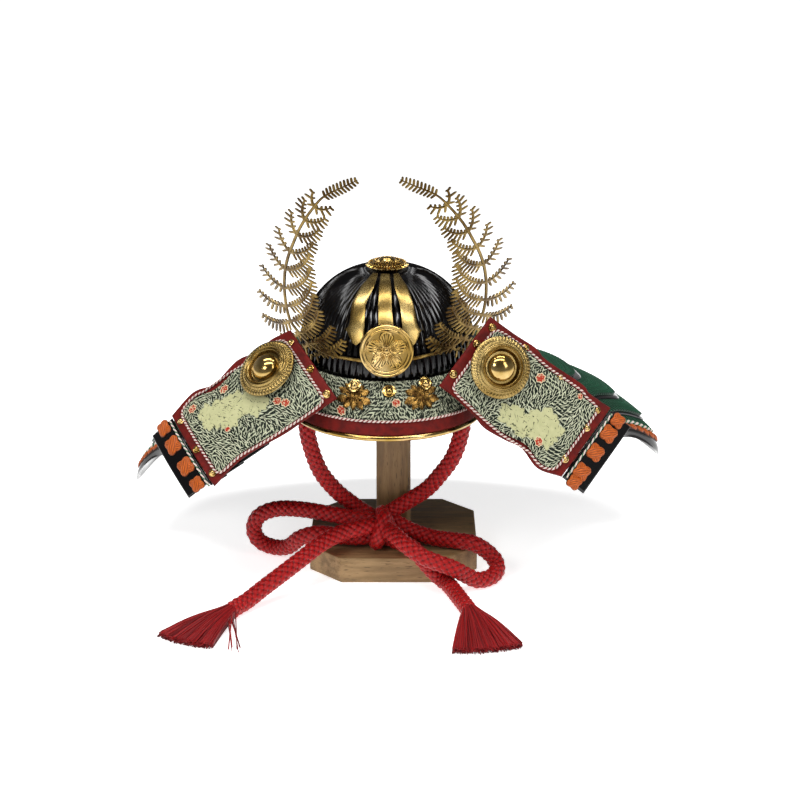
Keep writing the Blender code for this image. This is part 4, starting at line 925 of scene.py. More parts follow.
def make_crest():
    """The medallion's relief, set before the holder and leaning back by the crest's tilt."""
    back = HOLDER_FRONT - FERN_STEP - 0.4 * MM - 0.6 * MM + (CREST_Z - FROND_FOOT_Z) * math.sin(CREST_TILT)
    turn = math.pi / 2 - CREST_TILT
    axes = np.array([[1, 0, 0], [0, math.cos(turn), math.sin(turn)], [0, -math.sin(turn), math.cos(turn)]])

    def place(points):
        return points @ axes + [HELMET_X, back, CREST_Z]

    shape = Shape().add(disc_relief(CREST_RADIUS, crest_height, 0.0, 92, 264, place))
    piece("crest_rosette", shape, [BRIGHT_GOLD], ["crest_medallion"], 60)


# Fern fronds: stem from foot to tip, out in shares of the half spread and up in shares of the height
FROND_STEM = (
    (0.06, 0.0), (0.35, -0.002), (0.54, -0.006), (0.74, 0.016), (0.914, 0.078), (0.972, 0.14), (1.0, 0.243),
    (0.995, 0.355), (0.96, 0.455), (0.898, 0.557), (0.815, 0.672), (0.696, 0.79), (0.562, 0.885),
    (0.266, 0.996),
)
# Leaflets: at is the share of the stem; lengths in shares of the longest leaflet; angles from upright, in
# degrees, away from the helmet's middle (outer) and towards it (inner)
FROND_LEAFLETS = (
    dict(at=0.205, outer=0.30, outer_angle=130, inner=0.57, inner_angle=51),
    dict(at=0.25, outer=0.36, outer_angle=125, inner=0.72, inner_angle=43),
    dict(at=0.295, outer=0.50, outer_angle=122, inner=0.80, inner_angle=34),
    dict(at=0.338, outer=0.72, outer_angle=111, inner=0.95, inner_angle=34),
    dict(at=0.385, outer=0.66, outer_angle=94, inner=0.98, inner_angle=37),
    dict(at=0.45, outer=0.57, outer_angle=70, inner=0.90, inner_angle=42),
    dict(at=0.52, outer=0.50, outer_angle=47, inner=0.77, inner_angle=46),
    dict(at=0.595, outer=0.46, outer_angle=32, inner=0.66, inner_angle=54),
    dict(at=0.67, outer=0.45, outer_angle=13, inner=0.56, inner_angle=61),
    dict(at=0.74, outer=0.42, outer_angle=-2, inner=0.47, inner_angle=70),
    dict(at=0.805, outer=0.30, outer_angle=4, inner=0.36, inner_angle=78),
)
FROND_TIP_AT = 0.86
TOOTH_PITCH, TOOTH_WIDTH, TOOTH_LENGTH = 1.95 * MM, 1.25 * MM, 5.4 * MM
FERN_SHEET = 0.6 * MM


def flat_teeth(spine, side_length, first, last, below=0):
    """Blunt teeth on both sides of a midrib, as flat slabs: tooth = root + (heading turned outwards) *
    length, with widths that stay even and close in at the tip. The teeth below a leaflet are twice as long
    as those above it."""
    run = run_along(spine)
    count = max(3, int((last - first) * run[-1] / TOOTH_PITCH))
    at = run[-1] * np.linspace(first, last, count)
    root = resampled(spine, run, at)
    ahead = unit(resampled(np.gradient(spine, axis=0), run, at))
    grow = np.interp(at / run[-1], (first, first + 0.12, 0.62, 0.9, 1.0),
                     (0.85, 1.0, 1.0, 0.75, 0.45)) * side_length
    along = np.array([0, 0.35, 0.7, 0.92, 1.0])
    width = np.array([0.85, 1.0, 0.95, 0.7, 0.25]) * TOOTH_WIDTH / 2
    blades = []
    for hand in (1, -1):
        lean = math.radians(68)
        length = grow * (1.0 if below in (0, hand) else 0.5)
        out = np.column_stack([ahead[:, 0] * math.cos(lean) + hand * ahead[:, 1] * math.sin(lean),
                               ahead[:, 1] * math.cos(lean) - hand * ahead[:, 0] * math.sin(lean)])
        cross = np.column_stack([-out[:, 1], out[:, 0]])
        middle = root[:, None] + along[None, :, None] * (out * length[:, None])[:, None]
        spread = np.array([-1, 0, 1])[None, None, :, None] * width[None, :, None, None] * cross[:, None, None]
        blades.append(middle[:, :, None] + spread)
    return np.concatenate(blades)


def flat_strip(spine, half):
    """A flat strip of changing half width along a line."""
    ahead = unit(np.gradient(spine, axis=0))
    cross = np.column_stack([-ahead[:, 1], ahead[:, 0]])
    return spine[:, None] + np.array([-1, 0, 1])[None, :, None] * (cross * half[:, None])[:, None]


def leaflet_spine(root, chord_angle, length, hand):
    """A midrib that starts 30 degrees wide of its chord and bends up along its length."""
    shares = np.linspace(0, 1, 14)
    angles = math.radians(chord_angle) + math.radians(30) * (1 - shares)
    return root + (shares * length)[:, None] * np.column_stack([hand * np.sin(angles), np.cos(angles)])


def make_frond(name, sign, lean):
    """One frond: stem, midribs and teeth in the plane (out, up), then bent round the bowl's front: the
    sheet's middle lies at the holder's front + wrap * out^2."""
    stem = smooth_curve(np.array(FROND_STEM) * [FROND_HALF_SPREAD, FROND_HEIGHT], 301)
    flats = []
    half = np.interp(np.linspace(0, 1, 151), (0, 0.8, 1), (0.95, 0.6, 0.3)) * MM
    strips = [flat_strip(stem[::2], half)]
    for row in FROND_LEAFLETS:
        root = stem[int(round(row["at"] * 300))]
        for hand, length, angle in ((1, row["outer"], row["outer_angle"]),
                                    (-1, row["inner"], row["inner_angle"])):
            spine = leaflet_spine(root, angle, length * FROND_LEAFLET, hand)
            strips.append(flat_strip(spine, np.linspace(0.85, 0.40, 14) * MM))
            flats.append(flat_teeth(spine, TOOTH_LENGTH * min(1.0, 0.70 + 0.4 * length), 0.10, 0.97, hand))
    tip = stem[int(FROND_TIP_AT * 300):]
    flats.append(flat_teeth(tip, 3.8 * MM, 0.05, 0.95))
    turn = math.cos(lean), math.sin(lean)

    def bent(flat, lift):
        out = flat[..., 0] * turn[0] - flat[..., 1] * turn[1]
        up = flat[..., 1] * turn[0] + flat[..., 0] * turn[1]
        slope = 2 * FROND_WRAP * out
        size = np.sqrt(1 + slope**2)
        middle = HOLDER_FRONT - FERN_STEP + FROND_WRAP * out**2
        return np.stack([HELMET_X + sign * (out + lift * slope / size), middle - lift / size,
                         FROND_FOOT_Z + up], -1)

    shape = Shape()
    teeth = np.concatenate(flats)
    ridge = np.array([0.0, 0.14, 0.0]) * MM
    front = bent(teeth, FERN_SHEET / 2 + ridge)
    rear = bent(teeth, np.full(3, -FERN_SHEET / 2))
    faces = slab(front[0], rear[0])[1]
    count = len(teeth)
    points = np.concatenate([front.reshape(count, -1, 3), rear.reshape(count, -1, 3)], axis=1)
    shape.add(repeated(points, faces), mirrored=sign > 0)
    for strip in strips:
        shape.add(slab(bent(strip, FERN_SHEET / 2 + 2 * ridge), bent(strip, -FERN_SHEET / 2 - 0.05 * MM)),
                  mirrored=sign > 0)
    piece(name, shape, [FERN_GOLD], ["fern_" + name.split("_")[1]], 40)


# Visor


def visor_surface(down, angle):
    """The visor's outer face: an oval on the bowl above, a wider and further one at the rim below."""
    seat_out = 2.4 * MM
    top_x = (BOWL_HALF_WIDTH + seat_out) * np.sin(angle)
    top_y = -(BOWL_HALF_DEPTH + seat_out) * np.cos(angle)
    rim_x = VISOR_HALF_WIDTH * np.sin(angle)
    rim_y = VISOR_CENTRE_Y - VISOR_FRONT * np.cos(angle)
    swell = 1.6 * MM * np.sin(np.pi * np.clip(down, 0, 1))
    x = top_x + (rim_x - top_x) * down + swell * np.sin(angle)
    y = top_y + (rim_y - top_y) * down - swell * np.cos(angle)
    rim_drop = VISOR_DROP + VISOR_SIDE_DROP * (1 - np.cos(angle))
    z = BOWL_WIDEST_Z - 0.6 * MM - rim_drop * down + swell
    return np.stack([HELMET_X + x, y, z], axis=-1)


VISOR_HALF_ANGLE = math.radians(73)
VISOR_PIPING_AT = 0.77


def stroke(field, u, v, centre, angle, half_length, half_width):
    """Raises a field to 1 - |across| / width inside one leaf: its width shrinks as 1 - along^2 to a point."""
    rows = slice(*np.searchsorted(u, (centre[0] - half_length, centre[0] + half_length)))
    columns = slice(*np.searchsorted(v, (centre[1] - half_length, centre[1] + half_length)))
    if rows.start >= rows.stop or columns.start >= columns.stop:
        return
    du, dv = np.meshgrid(u[rows] - centre[0], v[columns] - centre[1], indexing="ij")
    along = (du * math.cos(angle) + dv * math.sin(angle)) / half_length
    across = -du * math.sin(angle) + dv * math.cos(angle)
    leaf = 1 - np.abs(across) / np.maximum(half_width * (1 - along**2), 1e-4)
    field[rows, columns] = np.maximum(field[rows, columns], np.where(np.abs(along) < 1, leaf, -1))


def print_fields(u, v, seed, flowers, patches):
    """The stencilled print on a panel of u by v millimetres, as four fields. Leaves stand on a jittered
    lattice, each turned to a slowly swaying direction plus a fork to one side or the other. A patch is an
    oval with a wavy edge."""
    rng = np.random.default_rng(seed)
    leaf = np.full((len(u), len(v)), -1.0)
    fleck = np.full((len(u), len(v)), -1.0)
    rows = np.arange(-1.0, u[-1] + 1.5, 2.35)
    columns = np.arange(-1.0, v[-1] + 1.5, 1.22)
    for row, base_u in enumerate(rows):
        for base_v in columns + 0.61 * (row % 2):
            cu, cv = base_u + rng.uniform(-0.35, 0.35), base_v + rng.uniform(-0.3, 0.3)
            sway = 0.75 * math.sin(0.17 * cv + 1.1 * math.sin(0.13 * cu + seed))
            flow = sway + 0.35 * math.sin(0.31 * cu + 2 * seed)
            fork = rng.choice((-0.42, 0.0, 0.42)) + rng.normal(0, 0.12)
            stroke(leaf, u, v, (cu, cv), flow + fork, rng.uniform(1.6, 2.4), rng.uniform(0.23, 0.36))
    for _ in range(int(0.30 * u[-1] * v[-1])):
        centre = rng.uniform(0, 1, 2) * (u[-1], v[-1])
        stroke(fleck, u, v, centre, rng.uniform(0, math.pi), rng.uniform(0.3, 2.2), rng.uniform(0.15, 0.28))
    uu, vv = np.meshgrid(u, v, indexing="ij")
    patch = np.full(uu.shape, -1.0)
    for cu, cv, half_u, half_v in patches:
        angle = np.arctan2((uu - cu) / half_u, (vv - cv) / half_v)
        wavy = 1 + 0.10 * np.sin(5 * angle + cu) + 0.07 * np.sin(9 * angle + cv) + 0.05 * np.sin(17 * angle)
        patch = np.maximum(patch, wavy - np.hypot((uu - cu) / half_u, (vv - cv) / half_v))
    bloom = np.full(uu.shape, -1.0)
    for cu, cv, radius in flowers:
        angle = np.arctan2(uu - cu, vv - cv)
        distance = np.hypot(uu - cu, vv - cv)
        petals = (1.0 + 0.12 * np.cos(7 * angle + cu)) - distance / (1.15 * radius)
        bloom = np.maximum(bloom, petals)
        leaf = np.where(distance < radius * 1.6, -1.0, leaf)
    return dict(leaf=leaf, fleck=fleck, patch=patch, flower=bloom)


def make_visor():
    """Printed leather above the piping, a plain red band below it, a gold tube round the rim."""
    half = VISOR_HALF_ANGLE
    s_line, t_line = eased(0, VISOR_PIPING_AT, 84), np.linspace(-half, half, 300)
    solid, run_s, run_t = rounded_wall(visor_surface, s_line, t_line, 0, 1.8 * MM, 0.5 * MM)
    fields = print_fields(run_s, run_t, 3, ((20.5, 51.5, 2.3), (14.0, 84.0, 2.0), (18.0, 26.0, 1.8)), ())
    shape = Shape().add(solid, **{key: both_sides(value) for key, value in fields.items()})
    piece("visor_printed_leather", shape, [PRINT], ["visor"], 50)
    band = rounded_wall(visor_surface, eased(VISOR_PIPING_AT + 0.004, 1.0, 16),
                        np.linspace(-half, half, 200), 0.1 * MM,
                        1.9 * MM, 0.5 * MM)[0]
    piece("visor_red_band", Shape().add(band), [RED_LEATHER], ["visor"], 50)
    angles = np.linspace(-half, half, 260)
    level = np.ones(260)
    edge = lifted(visor_surface, level, angles, -0.9 * MM * level)
    away = unit(edge - lifted(visor_surface, 0.9 * level, angles, -0.9 * MM * level))
    rim = Shape().add(round_tube(edge + away * 1.5 * MM, 1.6 * MM, 14, keep=UPRIGHT))
    piece("visor_gold_rim", rim, [BRIGHT_GOLD], ["visor_rim"], 50)
    line = lifted(visor_surface, VISOR_PIPING_AT * level, angles, 0.75 * MM * level)
    shape = rope(line, PIPING_RADIUS, PIPING_PITCH, keep=UPRIGHT)
    piece("visor_twisted_piping", shape, [WHITE_PLY, RED_PLY], ["visor_piping"], 60)


def domed_rivet(centre, normal, radius, height):
    """A domed head on a washer: half an ellipse out to 0.62 of the radius, then a flat ring with a low
    bead."""
    axes = turned_axes([normal])[0]

    def face(r, a):
        share = r / radius
        dome = height * np.sqrt(np.clip(1 - (share / 0.62) ** 2, 0, 1))
        washer = 0.55 * MM * (1 + 0.35 * np.exp(-((share - 0.85) / 0.08) ** 2))
        return np.where(share < 0.62, 0.55 * MM + dome, washer)

    def place(points):
        return points @ axes + centre

    return disc_relief(radius, face, 0.0, 20, 48, place)


def surface_seat(surface, s, t, lift):
    """A point over a surface and the surface's normal there."""
    point = lifted(surface, np.array(s), np.array(t), lift)
    above = lifted(surface, np.array(s), np.array(t), lift + 1.0)
    return point, above - point


def make_visor_ornaments():
    """Domed rivets on the visor, and pierced plates of a flower head with cut leaves, following the visor."""
    for name, angle, down, lift in (("crest_rivet_left", -18.5, 0.17, 2.1),
                                    ("crest_rivet_centre", 1.5, 0.22, 0.3),
                                    ("crest_rivet_right", 22.5, 0.14, 2.1)):
        point, normal = surface_seat(visor_surface, down, math.radians(angle), lift * MM)
        piece(name + "_head", Shape().add(domed_rivet(point, normal, 3.9 * MM, 2.3 * MM)), [BRIGHT_GOLD],
              [name], 50)
    mean_radius, slant = 70.75 * MM, 34.1 * MM
    for side, angle, down in (("left", -18.5, 0.35), ("right", 19.5, 0.35)):
        hand = -1 if side == "left" else 1

        def bent(x, y, lift):
            return lifted(visor_surface, down - y / slant, math.radians(angle) + x / mean_radius, lift)

        shape = Shape()
        # Flower head: petals as a cosine of the angle, pierced by a gap between head and leaves
        r = np.linspace(0.05, 1, 18)[:, None] * 5.6 * MM
        a = full_turn(96)[None]
        edge = r * (1 - 0.14 * (1 - np.abs(np.cos(8 * a))) * (r / (5.6 * MM)) ** 2)
        x, y = edge * np.cos(a) + hand * 0.5 * MM, edge * np.sin(a) + 0.6 * MM
        height = (1.2 + 0.55 * np.abs(np.cos(8 * a)) * np.clip(r / (5.6 * MM) * 1.5 - 0.3, 0, 1)
                  + 0.5 * np.exp(-((r / (5.6 * MM) - 0.3) / 0.1) ** 2)) * MM
        front = bent(x, y, height)
        rear = bent(x[-1:], y[-1:], np.full((1, 96), 0.75 * MM))
        hub = bent(0.3 * x[-1:], 0.3 * y[-1:], np.full((1, 96), 0.75 * MM))
        shape.add(capped(np.concatenate([front, rear, hub])))
        # Cut leaves round the head: half width follows a sine with saw teeth
        for turn, reach, wide in ((205, 10.5, 2.6), (238, 10.0, 2.3), (270, 9.4, 2.2), (302, 10.0, 2.3),
                                  (335, 10.5, 2.6),
                                  (20, 9.4, 2.2), (160, 9.4, 2.2), (52, 8.6, 2.0), (128, 8.6, 2.0)):
            turn = math.radians(turn)
            along = np.linspace(0.42, 1, 22)
            teeth = 1 - 0.32 * (1 - np.abs(np.cos(9 * np.pi * (along - 0.42))))
            half = wide * np.sin(np.pi * np.clip((along - 0.36) / 0.66, 0, 1)) * teeth + 0.15
            line = np.array([-1, -0.5, 0, 0.5, 1])
            lx = 1.3 * (along * reach)[:, None] * math.cos(turn) - (half[:, None] * line) * math.sin(turn)
            ly = (along * reach)[:, None] * math.sin(turn) + (half[:, None] * line) * math.cos(turn)
            lift = (1.35 + 0.35 * (1 - np.abs(line))[None] + 0.5 * (along - 0.4)[:, None]) * MM
            lx, ly = (lx + hand * 0.5) * MM, (ly + 0.6) * MM
            shape.add(slab(bent(lx, ly, lift), bent(lx, ly, np.full(lx.shape, 0.7 * MM))), mirrored=True)
        piece("mount_flower_" + side + "_pierced", shape, [AGED_GOLD],
              ["mount_flower_" + side], 40)


# Wings: foot is where the lower edge starts at the visor, in shares of the bowl's half width, half depth and
# height. Edge tables are (share along, shift up in shares of the height); rivets, flowers and patches are
# (along, down, size)
WINGS = (
    dict(side="right", sign=1, foot=(0.579, -1.133, -0.034), along=(0.784, 0.021, -0.621),
         up=(0.589, 0.395, 0.704),
         curl=0.06, boss=(0.232, 0.435),
         top=((0, 0), (0.2, 0.01), (0.36, 0.03), (0.47, -0.006), (0.75, 0.02), (0.83, -0.012), (1, 0)),
         low=((0, 0), (0.14, -0.005), (0.286, -0.033), (0.4, -0.08), (0.55, -0.05), (0.68, -0.012),
              (0.84, -0.085),
              (1, 0)),
         stretch=1.034, plate_end=1.0, knots=(0.07, 0.26, 0.53, 0.81, 0.96),
         rivets=((0.048, 0.10), (0.030, 0.36), (0.022, 0.80), (0.303, 0.075), (0.602, 0.09), (0.925, 0.12),
                 (0.938, 0.36),
                 (0.943, 0.79)),
         flowers=((0.494, 0.22, 2.3), (0.731, 0.81, 2.1), (0.78, 0.13, 1.4)),
         patches=((0.70, 0.64, 0.165, 0.23), (0.50, 0.74, 0.13, 0.15), (0.60, 0.80, 0.10, 0.12))),
    dict(side="left", sign=-1, foot=(-0.545, -1.2, -0.156), along=(-0.807, -0.057, -0.588),
         up=(-0.567, 0.417, 0.709),
         curl=0.50, boss=(0.262, 0.31),
         top=((0, 0), (0.15, 0.045), (0.24, 0.0), (0.41, 0.085), (0.63, 0.015), (0.79, 0.085), (1, 0)),
         low=((0, 0), (0.29, 0.012), (0.43, 0.02), (0.735, 0.075), (1, 0)),
         stretch=1.0, plate_end=0.93, knots=(0.07, 0.31, 0.61, 0.86),
         rivets=((0.031, 0.553), (0.045, 0.166), (0.036, 0.90), (0.962, 0.543), (0.955, 0.88), (0.958, 0.16)),
         flowers=((0.59, 0.19, 2.4), (0.845, 0.19, 2.3), (0.33, 0.70, 2.0), (0.29, 0.76, 2.0),
                  (0.71, 0.66, 1.4),
                  (0.10, 0.36, 1.8)),
         patches=((0.64, 0.47, 0.17, 0.24), (0.46, 0.56, 0.12, 0.19), (0.77, 0.42, 0.09, 0.20))),
)
FACE_ALONG = (0.078, 0.922)
FACE_DOWN = (0.095, 0.945)


def wing_surface_of(row):
    """The wing's outer face: foot + along * length + (1 - down) * height, leaning back as (1 - down)^2. Its
    upper and lower edges wave by the row's tables, each fading out towards the other edge."""
    foot = np.array([HELMET_X, 0, BOWL_WIDEST_Z]) + np.array(row["foot"]) * BOWL_SIZES
    along_step = np.array(row["along"]) * WING_LENGTH * row["stretch"]
    up_step = np.array(row["up"]) * WING_HEIGHT
    back_step = np.array([0, 0.944, -0.33]) * row["curl"] * WING_HEIGHT
    fine = np.linspace(0, 1, 400)
    waves = []
    for key in ("top", "low"):
        table = smooth_curve(row[key], 200)
        waves.append(np.interp(fine, table[:, 0], table[:, 1]))

    def surface(down, along):
        down = np.asarray(down, float)
        along = np.asarray(along, float)
        along = along if row["sign"] > 0 else 1 - along
        top, low = (np.interp(along, fine, wave) for wave in waves)
        up = 1 - down
        up = up + top * np.clip(up, 0, 1) ** 2 + low * np.clip(down, 0, 1) ** 2
        lean = np.clip(up, -1, 2) ** 2
        return (foot + along[..., None] * along_step + up[..., None] * up_step + lean[..., None] * back_step)

    return surface


def across(row, along):
    """The surface runs from the viewer's left to right, so the left wing's shares are turned round."""
    return along if row["sign"] > 0 else 1 - along


BOSS_RADIUS = 18.0 * MM


def boss_height(r, a):
    """Relief of the boss in metres from its rim's underside: a flange of fine petals, a row of beads, two
    smooth rings, then a dish round the dome."""
    share = r / BOSS_RADIUS
    flange = 0.9 + 1.9 * np.clip((1.0 - share) / 0.24, 0, 1) + 0.65 * np.abs(np.cos(26 * a)) * (
        (share > 0.84) * np.sin(np.pi * np.clip((share - 0.84) / 0.16, 0, 1)))
    beads = 0.8 * np.exp(-((share - 0.80) / 0.026) ** 2) * (0.35 + 0.65 * np.abs(np.cos(30 * a)))
    ring = 1.5 * np.exp(-((share - 0.70) / 0.036) ** 2)
    beads_in = 1.1 * np.exp(-((share - 0.605) / 0.028) ** 2)
    dish = 1.2 * np.clip((0.57 - share) / 0.05, 0, 1)
    return (flange + beads + ring + beads_in - dish) * MM


def make_wing(row):
    """Leather panel, printed face, piping, rivets, boss and end plate. The face swells as sine times sine."""
    side = row["side"]
    surface = wing_surface_of(row)
    leather = rounded_wall(surface, eased(0, 1, 34), eased(0, 1, 130), 0, 3 * MM, 0.9 * MM)[0]
    piece(f"wing_{side}_red_leather", Shape().add(leather), [RED_LEATHER], [f"wing_{side}"],
          50)
    face_along = sorted((across(row, FACE_ALONG[0]), across(row, FACE_ALONG[1])))
    s_line, t_line = eased(*FACE_DOWN, 132), eased(*face_along, 222)
    s, t = np.meshgrid(s_line, t_line, indexing="ij")
    pillow = 0.5 * MM * np.sin(np.pi * (s - s[0, 0]) / (s[-1, 0] - s[0, 0])) * np.sin(
        np.pi * (t - t[0, 0]) / (t[0, -1] - t[0, 0]))
    solid, run_s, run_t = rounded_wall(surface, s_line, t_line, 1.3 * MM, 1.2 * MM, 0.5 * MM, relief=pillow)

    def on_face(along, down):
        place_t = (across(row, along) - face_along[0]) / (face_along[1] - face_along[0])
        return (down - FACE_DOWN[0]) / (FACE_DOWN[1] - FACE_DOWN[0]) * run_s[-1], place_t * run_t[-1]

    flowers = [(*on_face(a, d), size) for a, d, size in row["flowers"]]
    patches = [(*on_face(a, d), half_d * run_s[-1], half_a * run_t[-1]) for a, d, half_a,
               half_d in row["patches"]]
    fields = print_fields(run_s, run_t, 5 + row["sign"], flowers, patches)
    shape = Shape().add(solid, **{key: both_sides(value) for key, value in fields.items()})
    piece(f"wing_{side}_printed_face", shape, [PRINT], [f"wing_face_{side}"], 50)
    # The piping lies round the printed face, with softly turned corners
    margin_d, margin_a = 1.2 * MM / WING_HEIGHT, 1.2 * MM / WING_LENGTH
    half_d = (FACE_DOWN[1] - FACE_DOWN[0]) / 2 + margin_d
    half_a = (face_along[1] - face_along[0]) / 2 + margin_a
    turn = full_turn(400)
    power = 0.16
    sine, cosine = np.sin(turn), np.cos(turn)
    ring_d = (FACE_DOWN[0] + FACE_DOWN[1]) / 2 + half_d * np.sign(sine) * np.abs(sine) ** power
    ring_a = (face_along[0] + face_along[1]) / 2 + half_a * np.sign(cosine) * np.abs(cosine) ** power
    ring = lifted(surface, ring_d, ring_a, np.full(400, 0.9 * MM))
    normal = surface_seat(surface, 0.5, 0.5, 0.0)[1]
    shape = rope(ring, PIPING_RADIUS, PIPING_PITCH, ring=True, keep=normal)
    piece(f"wing_{side}_twisted_piping", shape, [WHITE_PLY, RED_PLY], [f"wing_piping_{side}"], 60)
    rivets = Shape()
    for along, down in row["rivets"]:
        point, normal = surface_seat(surface, down, across(row, along), 0.25 * MM)
        rivets.add(domed_rivet(point, normal, 2.3 * MM, 1.5 * MM))
    piece(f"wing_{side}_rivets", rivets, [BRIGHT_GOLD], (), 50)
    make_boss(row, surface)
    make_end_plate(row, surface)


def make_boss(row, surface):
    """A stepped round boss on a hub with a polished dome in its middle."""
    along, down = row["boss"]
    base, normal = surface_seat(surface, down, across(row, along), 1.9 * MM)
    axes = turned_axes([normal])[0]

    def place(points):
        return (points + [0, 0, 2.7 * MM]) @ axes + base

    shape = Shape().add(disc_relief(BOSS_RADIUS, boss_height, 0.2 * MM, 100, 312, place))
    shape.add(capped(place(turned_grid([5.2, 5.2], [0.4, -2.7], 40) * MM)))
    piece(f"boss_{row['side']}_rings", shape, [STRAP_GOLD], [f"boss_{row['side']}"], 60)
    angle = np.concatenate([np.radians(np.linspace(3, 90, 26)), [math.pi / 2]])
    rise = np.concatenate([5.2 * np.cos(angle[:-1]), [-0.5]]) + 2.3
    dome = turned_grid(7.9 * np.sin(angle), rise, 72) * MM
    piece(f"boss_{row['side']}_dome", Shape().add(capped(place(dome))), [BRIGHT_GOLD],
          [f"boss_dome_{row['side']}"], 60)


def cross_knot(surface, s, t, lift, size):
    """A cross stitch of two flat braids, one over the other. Each is a pillow of five threads: its height is
    1.3 mm * sqrt(1 - |along|^3) * (1 - across^4), with an arch for each thread."""
    along, over = np.meshgrid(np.linspace(-1, 1, 25), np.linspace(-1, 1, 31), indexing="ij")
    solids = []
    for hand, level in ((1, 0.0), (-1, 0.55)):
        p = along * 5.9 * size
        q = over * 3.5 * size * (1 - 0.72 * np.abs(along) ** 3)
        x, y = (p + hand * q) * math.sqrt(0.5) * MM, (q - hand * p) * math.sqrt(0.5) * MM
        pillow = np.sqrt(np.clip(1 - np.abs(along) ** 3, 0, 1)) * (1 - over**4)
        thread = np.abs(np.sin(2.5 * math.pi * (over + 1)))
        height = lift + (0.1 + (1.3 + level + 0.30 * thread) * pillow) * MM
        place = s - y / WING_HEIGHT, t + x / WING_LENGTH
        outer = lifted(surface, *place, height)
        inner = lifted(surface, *place, np.full(x.shape, lift))
        # Painted shade: depth is darker between the threads and towards each pillow's edges
        values = dict(depth=both_sides((0.25 + 0.75 * thread) * np.clip(pillow * 2, 0.2, 1)),
                      across=both_sides(over * 0.8), run=both_sides(p))
        solids.append((slab(outer, inner), values))
    return solids


def make_end_plate(row, surface):
    """The turned end of the lowest lame, its orange cross knots and the green and white stitches beside
    them."""
    side = row["side"]
    start = 1 + 0.6 * MM / WING_LENGTH
    end = start + END_PLATE_WIDTH / WING_LENGTH

    def plate(down, along):
        down, along = np.asarray(down, float), np.asarray(along, float)
        beyond = np.where(row["sign"] > 0, along - 1, -along) * WING_LENGTH
        return lifted(surface, down, along, -0.4 * MM - 0.12 * beyond)

    reach = sorted((across(row, start), across(row, end)))
    solid = rounded_wall(plate, eased(0.02, row["plate_end"], 30), eased(*reach, 24), 0, 1.8 * MM,
                         0.8 * MM)[0]
    piece(f"end_plate_{side}_lacquer", Shape().add(solid), [LACQUER],
          [f"end_plate_{side}"], 50)
    middle = across(row, start + 0.44 * (end - start))
    for number, down in enumerate(row["knots"]):
        knot = Shape()
        for solid, values in cross_knot(plate, down, middle, 0.1 * MM, 1.0 if 0.2 < down < 0.85 else 0.85):
            knot.add(solid, **values)
        name = f"cross_knot_{side}_{number + 1}"
        piece(name + "_braid", knot, [ORANGE_BRAID], [name], 60)
    beside = across(row, start + 0.10 * (end - start))
    line = lifted(plate, np.linspace(0.05, 0.97, 120), np.full(120, beside), np.full(120, 0.6 * MM))
    piece(f"end_plate_{side}_stitch", rope(line, 0.7 * MM, 4.2 * MM), [WHITE_PLY, GREEN_PLY], (),
          60)


# Neck guard between the two folds: inner edge in shares of the bowl's half sizes, outer edge in shares of the
# guard's half width and back, drop in shares of the guard's drop
GUARD_STATIONS = (
    dict(inner=(1.02, -0.40), outer=(0.880, 0.05), drop=0.82, bulge=0.7),
    dict(inner=(1.0, 0.28), outer=(1.042, 0.36), drop=1.20, bulge=0.95),
    dict(inner=(0.72, 0.775), outer=(0.79, 0.79), drop=1.13, bulge=0.93),
    dict(inner=(0.0, 1.045), outer=(0.0, 1.0), drop=1.16, bulge=0.9),
    dict(inner=(-0.72, 0.775), outer=(-0.75, 0.74), drop=1.25, bulge=0.62),
    dict(inner=(-1.0, 0.28), outer=(-0.955, 0.22), drop=1.33, bulge=0.65),
    dict(inner=(-1.02, -0.40), outer=(-0.835, -0.02), drop=0.94, bulge=0.6),
)
FOLD_SETBACK = 5.3 * MM


def guard_stations():
    """Inner edge, outer edge and bulge at each station, from the right fold round the back to the left
    fold."""
    rows = []
    for station in GUARD_STATIONS:
        inner = (HELMET_X + station["inner"][0] * BOWL_HALF_WIDTH, station["inner"][1] * BOWL_HALF_DEPTH,
                 GUARD_TOP_Z)
        outer = (HELMET_X + station["outer"][0] * GUARD_HALF_WIDTH, station["outer"][1] * GUARD_BACK,
                 GUARD_TOP_Z - station["drop"] * GUARD_DROP)
        rows.append([*inner, *outer, station["bulge"]])
    folds = []
    for row, neighbour in ((WINGS[0], rows[0]), (WINGS[1], rows[-1])):
        foot = np.array([HELMET_X, 0, BOWL_WIDEST_Z]) + np.array(row["foot"]) * BOWL_SIZES
        end = foot + np.array(row["along"]) * WING_LENGTH
        foot = foot + unit(np.array(neighbour[:3]) - foot) * FOLD_SETBACK
        end = end + unit(np.array(neighbour[3:6]) - end) * FOLD_SETBACK
        folds.append([*foot, *end, 0.0])
    return np.array([folds[0], *rows, folds[1]])


STATIONS = guard_stations()


def guard_surface(out, turn):
    """The guard's outer face: out runs from the bowl (0) to the lower edge (1), turn from right to left
    fold. Between stations it is a Catmull-Rom curve; outwards it falls slowly at first and steeply at the
    end."""
    out, turn = np.broadcast_arrays(np.asarray(out, float), np.asarray(turn, float))
    table = np.vstack([2 * STATIONS[0] - STATIONS[1], STATIONS, 2 * STATIONS[-1] - STATIONS[-2]])
    place = np.clip(turn, 0, 1) * (len(STATIONS) - 1)
    low = np.minimum(place.astype(int), len(STATIONS) - 2)
    t = (place - low)[..., None]
    a, b, c, d = table[low], table[low + 1], table[low + 2], table[low + 3]
    row = catmull_rom(a, b, c, d, t)
    inner, outer, bulge = row[..., 0:3], row[..., 3:6], row[..., 6]
    curved = 0.45 * out + 0.55 * (1 - np.sqrt(np.clip(1 - np.clip(out, 0, 1) ** 3, 0.0009, 1)))
    fall = bulge * curved + (1 - bulge) * out
    flat = inner + (outer - inner) * out[..., None]
    flat[..., 2] = inner[..., 2] + (outer[..., 2] - inner[..., 2]) * fall
    return flat


